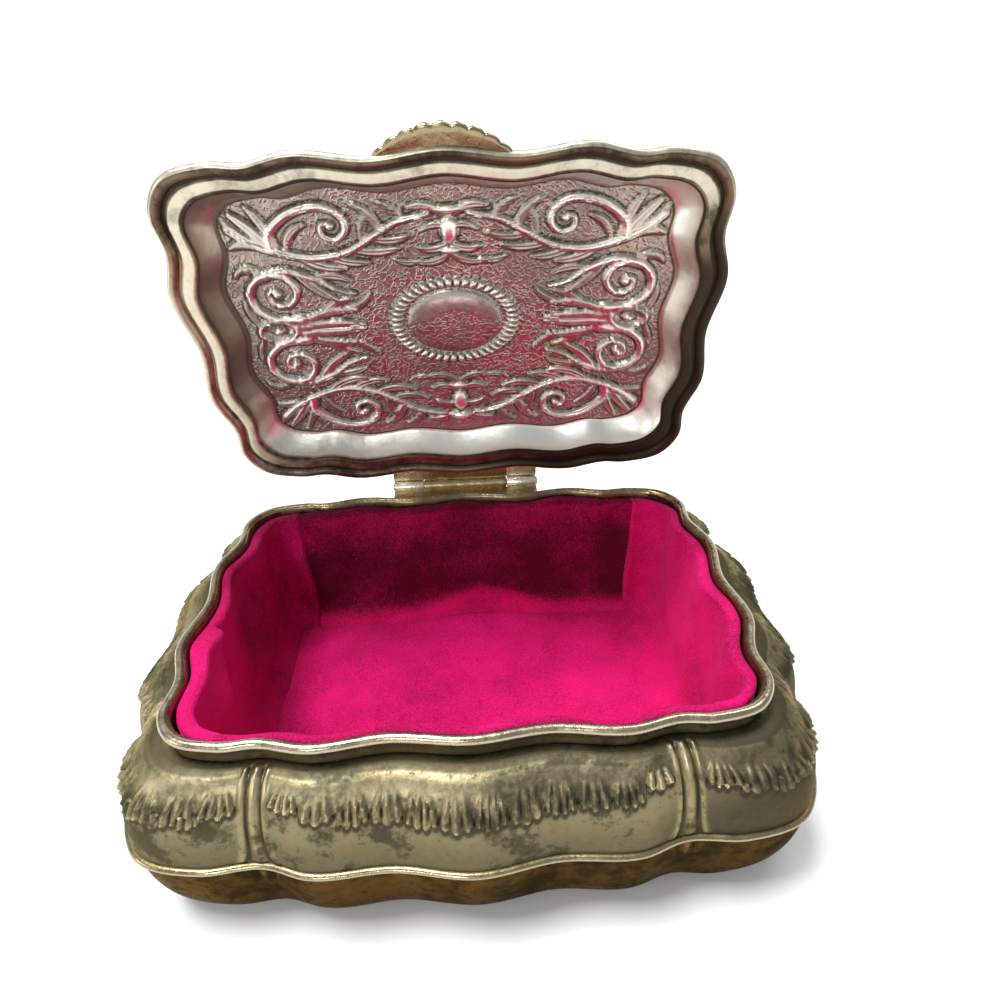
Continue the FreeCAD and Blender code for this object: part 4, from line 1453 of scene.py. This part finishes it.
    def pad_grid(self) -> Array:
        """Crowned pad with drawn-in sides, as rings of a rounded rectangle."""
        side = ((0.0, 12.0), (0.0, 0.9), (0.25, 0.3), (0.5, 0.15), (0.78, 0.45), (0.95, 1.2))
        upper = ((2.4, 0.08), (4.5, 0.26), (7.5, 0.46), (11.0, 0.66), (15.0, 0.84), (19.5, 0.94), (24.0, 1.0),
                 (28.5, 1.0))
        layers = []
        for level, draw, crown in [(*row, 0.0) for row in side] + [(1.0, *row) for row in upper]:
            corner = max(1.0, self.pad_corner - 0.5 * draw)
            half_x, half_y = self.pad_half_x - draw, self.pad_half_y - draw
            points = []
            for number, (sx, sy) in enumerate(((1, -1), (1, 1), (-1, 1), (-1, -1))):
                turn = np.radians(90.0 * number - 90.0 + np.linspace(0, 90, 13))
                centre = np.array([sx * (half_x - corner), sy * (half_y - corner)])
                points.append(centre + corner * np.column_stack([np.cos(turn), np.sin(turn)]))
            ring = []
            for number, arc in enumerate(points):
                following = points[(number + 1) % 4][0]
                count = 46 if number in (0, 2) else 30
                line = arc[-1] + (following - arc[-1]) * np.linspace(0, 1, count + 1)[1:-1, None]
                ring.append(np.vstack([arc, line]))
            flat = np.vstack(ring)
            height = self.floor + 0.02 + self.pad_height * level + self.pad_crown * crown
            layers.append(np.column_stack([flat, np.full(len(flat), height)]))
        return np.stack(layers)

    def stuff(self, item: bpy.types.Object) -> None:
        """Swell the pad with a short cloth run on an enlarged copy of its mesh.

        Args:
            item: the pad, whose mesh is replaced.
        """
        item.data.transform(Matrix.Scale(self.stuffing_scale, 4))
        self.builder.focus(item)
        item.data.remesh_voxel_size = self.stuffing_voxel
        bpy.ops.object.voxel_remesh()
        start = coordinates(item.data)
        cloth = item.modifiers.new("stuffing", "CLOTH")
        cloth.settings.quality = 5
        cloth.settings.use_pressure = True
        cloth.settings.uniform_pressure_force = self.stuffing_pressure
        cloth.settings.effector_weights.gravity = 0.0
        scene = bpy.context.scene
        for frame_number in range(1, self.stuffing_frames + 1):
            scene.frame_set(frame_number)
        graph = bpy.context.evaluated_depsgraph_get()
        swollen = coordinates(item.evaluated_get(graph).data)
        item.modifiers.remove(cloth)
        scene.frame_set(1)
        unit = MM * self.stuffing_scale
        move = (swollen - start) / unit
        far = np.maximum(np.linalg.norm(move, axis=1, keepdims=True), 1e-9)
        move *= np.minimum(1.0, self.stuffing_cap / far)
        across, along, height = (start / unit + np.nan_to_num(move)).T
        upper = ramp(height, self.floor + 2.2, self.floor + 3.0)
        hump = self.hump_height * bell(across, self.hump_x, self.hump_half_x)
        hump *= bell(along, self.hump_y, self.hump_half_y)
        swell = (0.12 * self.ripple(across, along, 5.0) + hump) * upper
        height = np.maximum(height + swell, self.floor + 0.02)
        across = np.clip(across, -self.pad_half_x - 0.15, self.pad_half_x + 0.15)
        along = np.clip(along, -self.pad_half_y - 0.15, self.pad_half_y + 0.15)
        item.data.vertices.foreach_set("co", (np.column_stack([across, along, height]) * MM).ravel())
        item.data.update()
        item.modifiers.new("even", "SUBSURF").levels = 1
        self.builder.apply(item)
        self.builder.focus(item)
        bpy.ops.object.shade_smooth()

    def pad(self) -> None:
        """Crowned floor pad."""
        grid = self.pad_grid()
        item = self.builder.grid("floor_velvet_pad", grid, False, end_points(grid), crease=80.0)
        self.stuff(item)
        across, along, _ = coordinates(item.data).T / MM
        # Painted shade: darker on the left, most of all in front in the shadow of the fold, and towards the
        # back beside the hump.
        painted_light = -0.34 * ramp(-across, 24, 42) * np.clip((12.0 - along) / 24.0, 0.25, 1)
        painted_light -= 0.2 * ramp(along, 20, 32) * (1 - bell(across, self.hump_x, self.hump_half_x))
        mark = item.data.attributes.get("relief") or item.data.attributes.new("relief", "FLOAT", "POINT")
        mark.data.foreach_set("value", painted_light.astype(np.float32))
        self.builder.place(item, Body.BOX, Slot.VELVET, self.builder.palette.velvet(VELVET), ["floor_pad"])

    def build(self) -> None:
        """Make the whole lining."""
        self.sides()
        self.pad()


@dataclass
class Carried:
    """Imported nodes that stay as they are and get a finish, and the hinge clips cut from the lid's leaf."""

    builder: Builder
    clip_inner: float = 11.1
    clip_rounding: float = 0.2
    clip_crease: float = 35.0

    def clips(self, leaf: bpy.types.Object) -> None:
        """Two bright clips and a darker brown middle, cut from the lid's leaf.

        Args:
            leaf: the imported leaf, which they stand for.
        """
        for name, side, finish in (("hinge_clip_left", -1.0, HINGE), ("hinge_clip_right", 1.0, HINGE),
                                   ("hinge_leaf_middle", 0.0, BARREL)):
            mesh = leaf.data.copy()
            mesh.transform(leaf.matrix_world)
            form = bmesh.new()
            form.from_mesh(mesh)
            bmesh.ops.remove_doubles(form, verts=form.verts, dist=1e-6)
            for way in ((side,) if side else (-1.0, 1.0)):
                parts = form.verts[:] + form.edges[:] + form.faces[:]
                bmesh.ops.bisect_plane(form, geom=parts, plane_co=(way * self.clip_inner * MM, 0, 0),
                                       plane_no=(way, 0, 0), clear_inner=bool(side), clear_outer=not side)
                bmesh.ops.holes_fill(form, edges=form.edges[:])
            form.to_mesh(mesh)
            form.free()
            item = bpy.data.objects.new(name, mesh)
            bpy.context.scene.collection.objects.link(item)
            rounding = item.modifiers.new("rounding", "BEVEL")
            rounding.width = self.clip_rounding * MM
            rounding.segments = 2
            self.builder.apply(item)
            bpy.ops.object.shade_smooth_by_angle(angle=math.radians(self.clip_crease))
            self.builder.place(item, Body.LID, Slot.HINGE, self.builder.palette.metal(finish),
                               ["lid_hinge_leaf"] if side < 0 else [])

    def dress(self, nodes: dict[str, bpy.types.Object]) -> None:
        """Assign finishes to the nodes.

        Args:
            nodes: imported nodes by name.
        """
        palette = self.builder.palette
        self.clips(nodes["lid_hinge_leaf"])
        finishes = {"base_plate": palette.metal(FOOT), "body_hinge_leaf": palette.metal(BARREL),
                    "hinge_pin": palette.metal(PIN), "floor_card": palette.card()}
        for name, material in finishes.items():
            for place in nodes[name].material_slots:
                place.material = material
            LOG.info("%s: dressed", name)


@dataclass
class Studio:
    """Backdrop, lights and the camera at the photo's angle.

    The camera's place is in millimetres, and the sizes of the backdrop are in metres.
    """

    palette: Palette
    camera_mm: tuple[float, float, float] = (3.7, -120.2, 137.2)
    yaw: float = 2.14
    pitch: float = 32.86
    roll: float = -1.70
    lens: float = 25.19
    shift: tuple[float, float] = (-0.003, 0.018)
    sheet_half: float = 1.2
    sheet_front: float = 0.9
    sheet_wide: float = 1.8
    bend_start: float = 0.65
    bend_radius: float = 0.35

    def backdrop(self) -> None:
        """Sheet of pale paper that turns up behind the box."""
        bpy.ops.object.select_all(action="DESELECT")
        bpy.ops.mesh.primitive_grid_add(x_subdivisions=2, y_subdivisions=60, size=2.0)
        item = bpy.context.object
        item.name = "backdrop"
        points = coordinates(item.data)
        run = (points[:, 1] + 1.0) * self.sheet_half - self.sheet_front
        radius, start = self.bend_radius, self.bend_start
        turn = np.clip((run - start) / radius, 0, math.pi / 2)
        points[:, 1] = np.where(run < start, run, start + radius * np.sin(turn))
        points[:, 2] = radius * (1 - np.cos(turn)) + np.maximum(0, run - start - radius * math.pi / 2)
        points[:, 0] *= self.sheet_wide
        item.data.vertices.foreach_set("co", points.ravel())
        bpy.ops.object.shade_smooth()
        item.data.materials.append(self.palette.paper())

    @staticmethod
    def light(name: str, place: tuple[float, float, float], aim: tuple[float, float, float], size: float,
              power: float) -> None:
        """Add a soft light.

        Args:
            name: the light's name.
            place: where it is, in metres.
            aim: what it points at.
            size: its width.
            power: its strength in watts.
        """
        lamp = bpy.data.lights.new(name, "AREA")
        lamp.size = size
        lamp.energy = power
        item = bpy.data.objects.new(name, lamp)
        bpy.context.scene.collection.objects.link(item)
        item.location = place
        item.rotation_euler = (Vector(aim) - Vector(place)).to_track_quat("-Z", "Y").to_euler()

    def lights(self) -> None:
        """Broad light from above and a little left, with weak fills in front and at the left."""
        self.light("key", (-0.30, -0.02, 1.05), (0.0, 0.0, 0.03), 0.45, 15.0)
        self.light("fill", (-0.30, -0.95, 0.52), (0.0, 0.0, 0.08), 0.2, 2.4)
        self.light("backdrop_wash", (0.5, 0.45, 1.1), (0.5, 1.0, 0.35), 0.6, 7.0)
        self.light("side", (-0.85, -0.30, 0.35), (0.0, 0.0, 0.05), 0.35, 1.4)
        world = bpy.data.worlds.new("soft_sky")
        bpy.context.scene.world = world
        world.use_nodes = True
        world.node_tree.nodes["Background"].inputs["Color"].default_value = (0.95, 0.97, 1.0, 1.0)
        world.node_tree.nodes["Background"].inputs["Strength"].default_value = 0.42
        bpy.context.scene.view_settings.view_transform = "Standard"

    def camera(self) -> None:
        """Camera fitted to the photo."""
        yaw, pitch, roll = (math.radians(angle) for angle in (self.yaw, self.pitch, self.roll))
        ahead = Vector((math.sin(yaw) * math.cos(pitch), math.cos(yaw) * math.cos(pitch), -math.sin(pitch)))
        right = Vector((math.cos(yaw), -math.sin(yaw), 0.0))
        upward = right.cross(ahead)
        side = right * math.cos(roll) + upward * math.sin(roll)
        top = upward * math.cos(roll) - right * math.sin(roll)
        data = bpy.data.cameras.new("photo_view")
        data.sensor_width = 36.0
        data.lens = self.lens
        data.shift_x, data.shift_y = self.shift
        data.clip_start = 0.005
        item = bpy.data.objects.new("photo_view", data)
        bpy.context.scene.collection.objects.link(item)
        turn = Matrix((side, top, -ahead)).transposed().to_4x4()
        item.matrix_world = Matrix.Translation(Vector(self.camera_mm) * MM) @ turn
        bpy.context.scene.camera = item

    def build(self) -> None:
        """Set the stage."""
        self.backdrop()
        self.lights()
        self.camera()


def main() -> None:
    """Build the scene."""
    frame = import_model()
    bpy.ops.object.select_all(action="DESELECT")
    palette = Palette()
    builder = Builder(palette)
    BodyShell(builder).build()
    Lid(builder).build()
    Lining(builder).build()
    Carried(builder).dress(frame["nodes"])
    Studio(palette).build()
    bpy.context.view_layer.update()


if __name__ == "__main__":
    main()
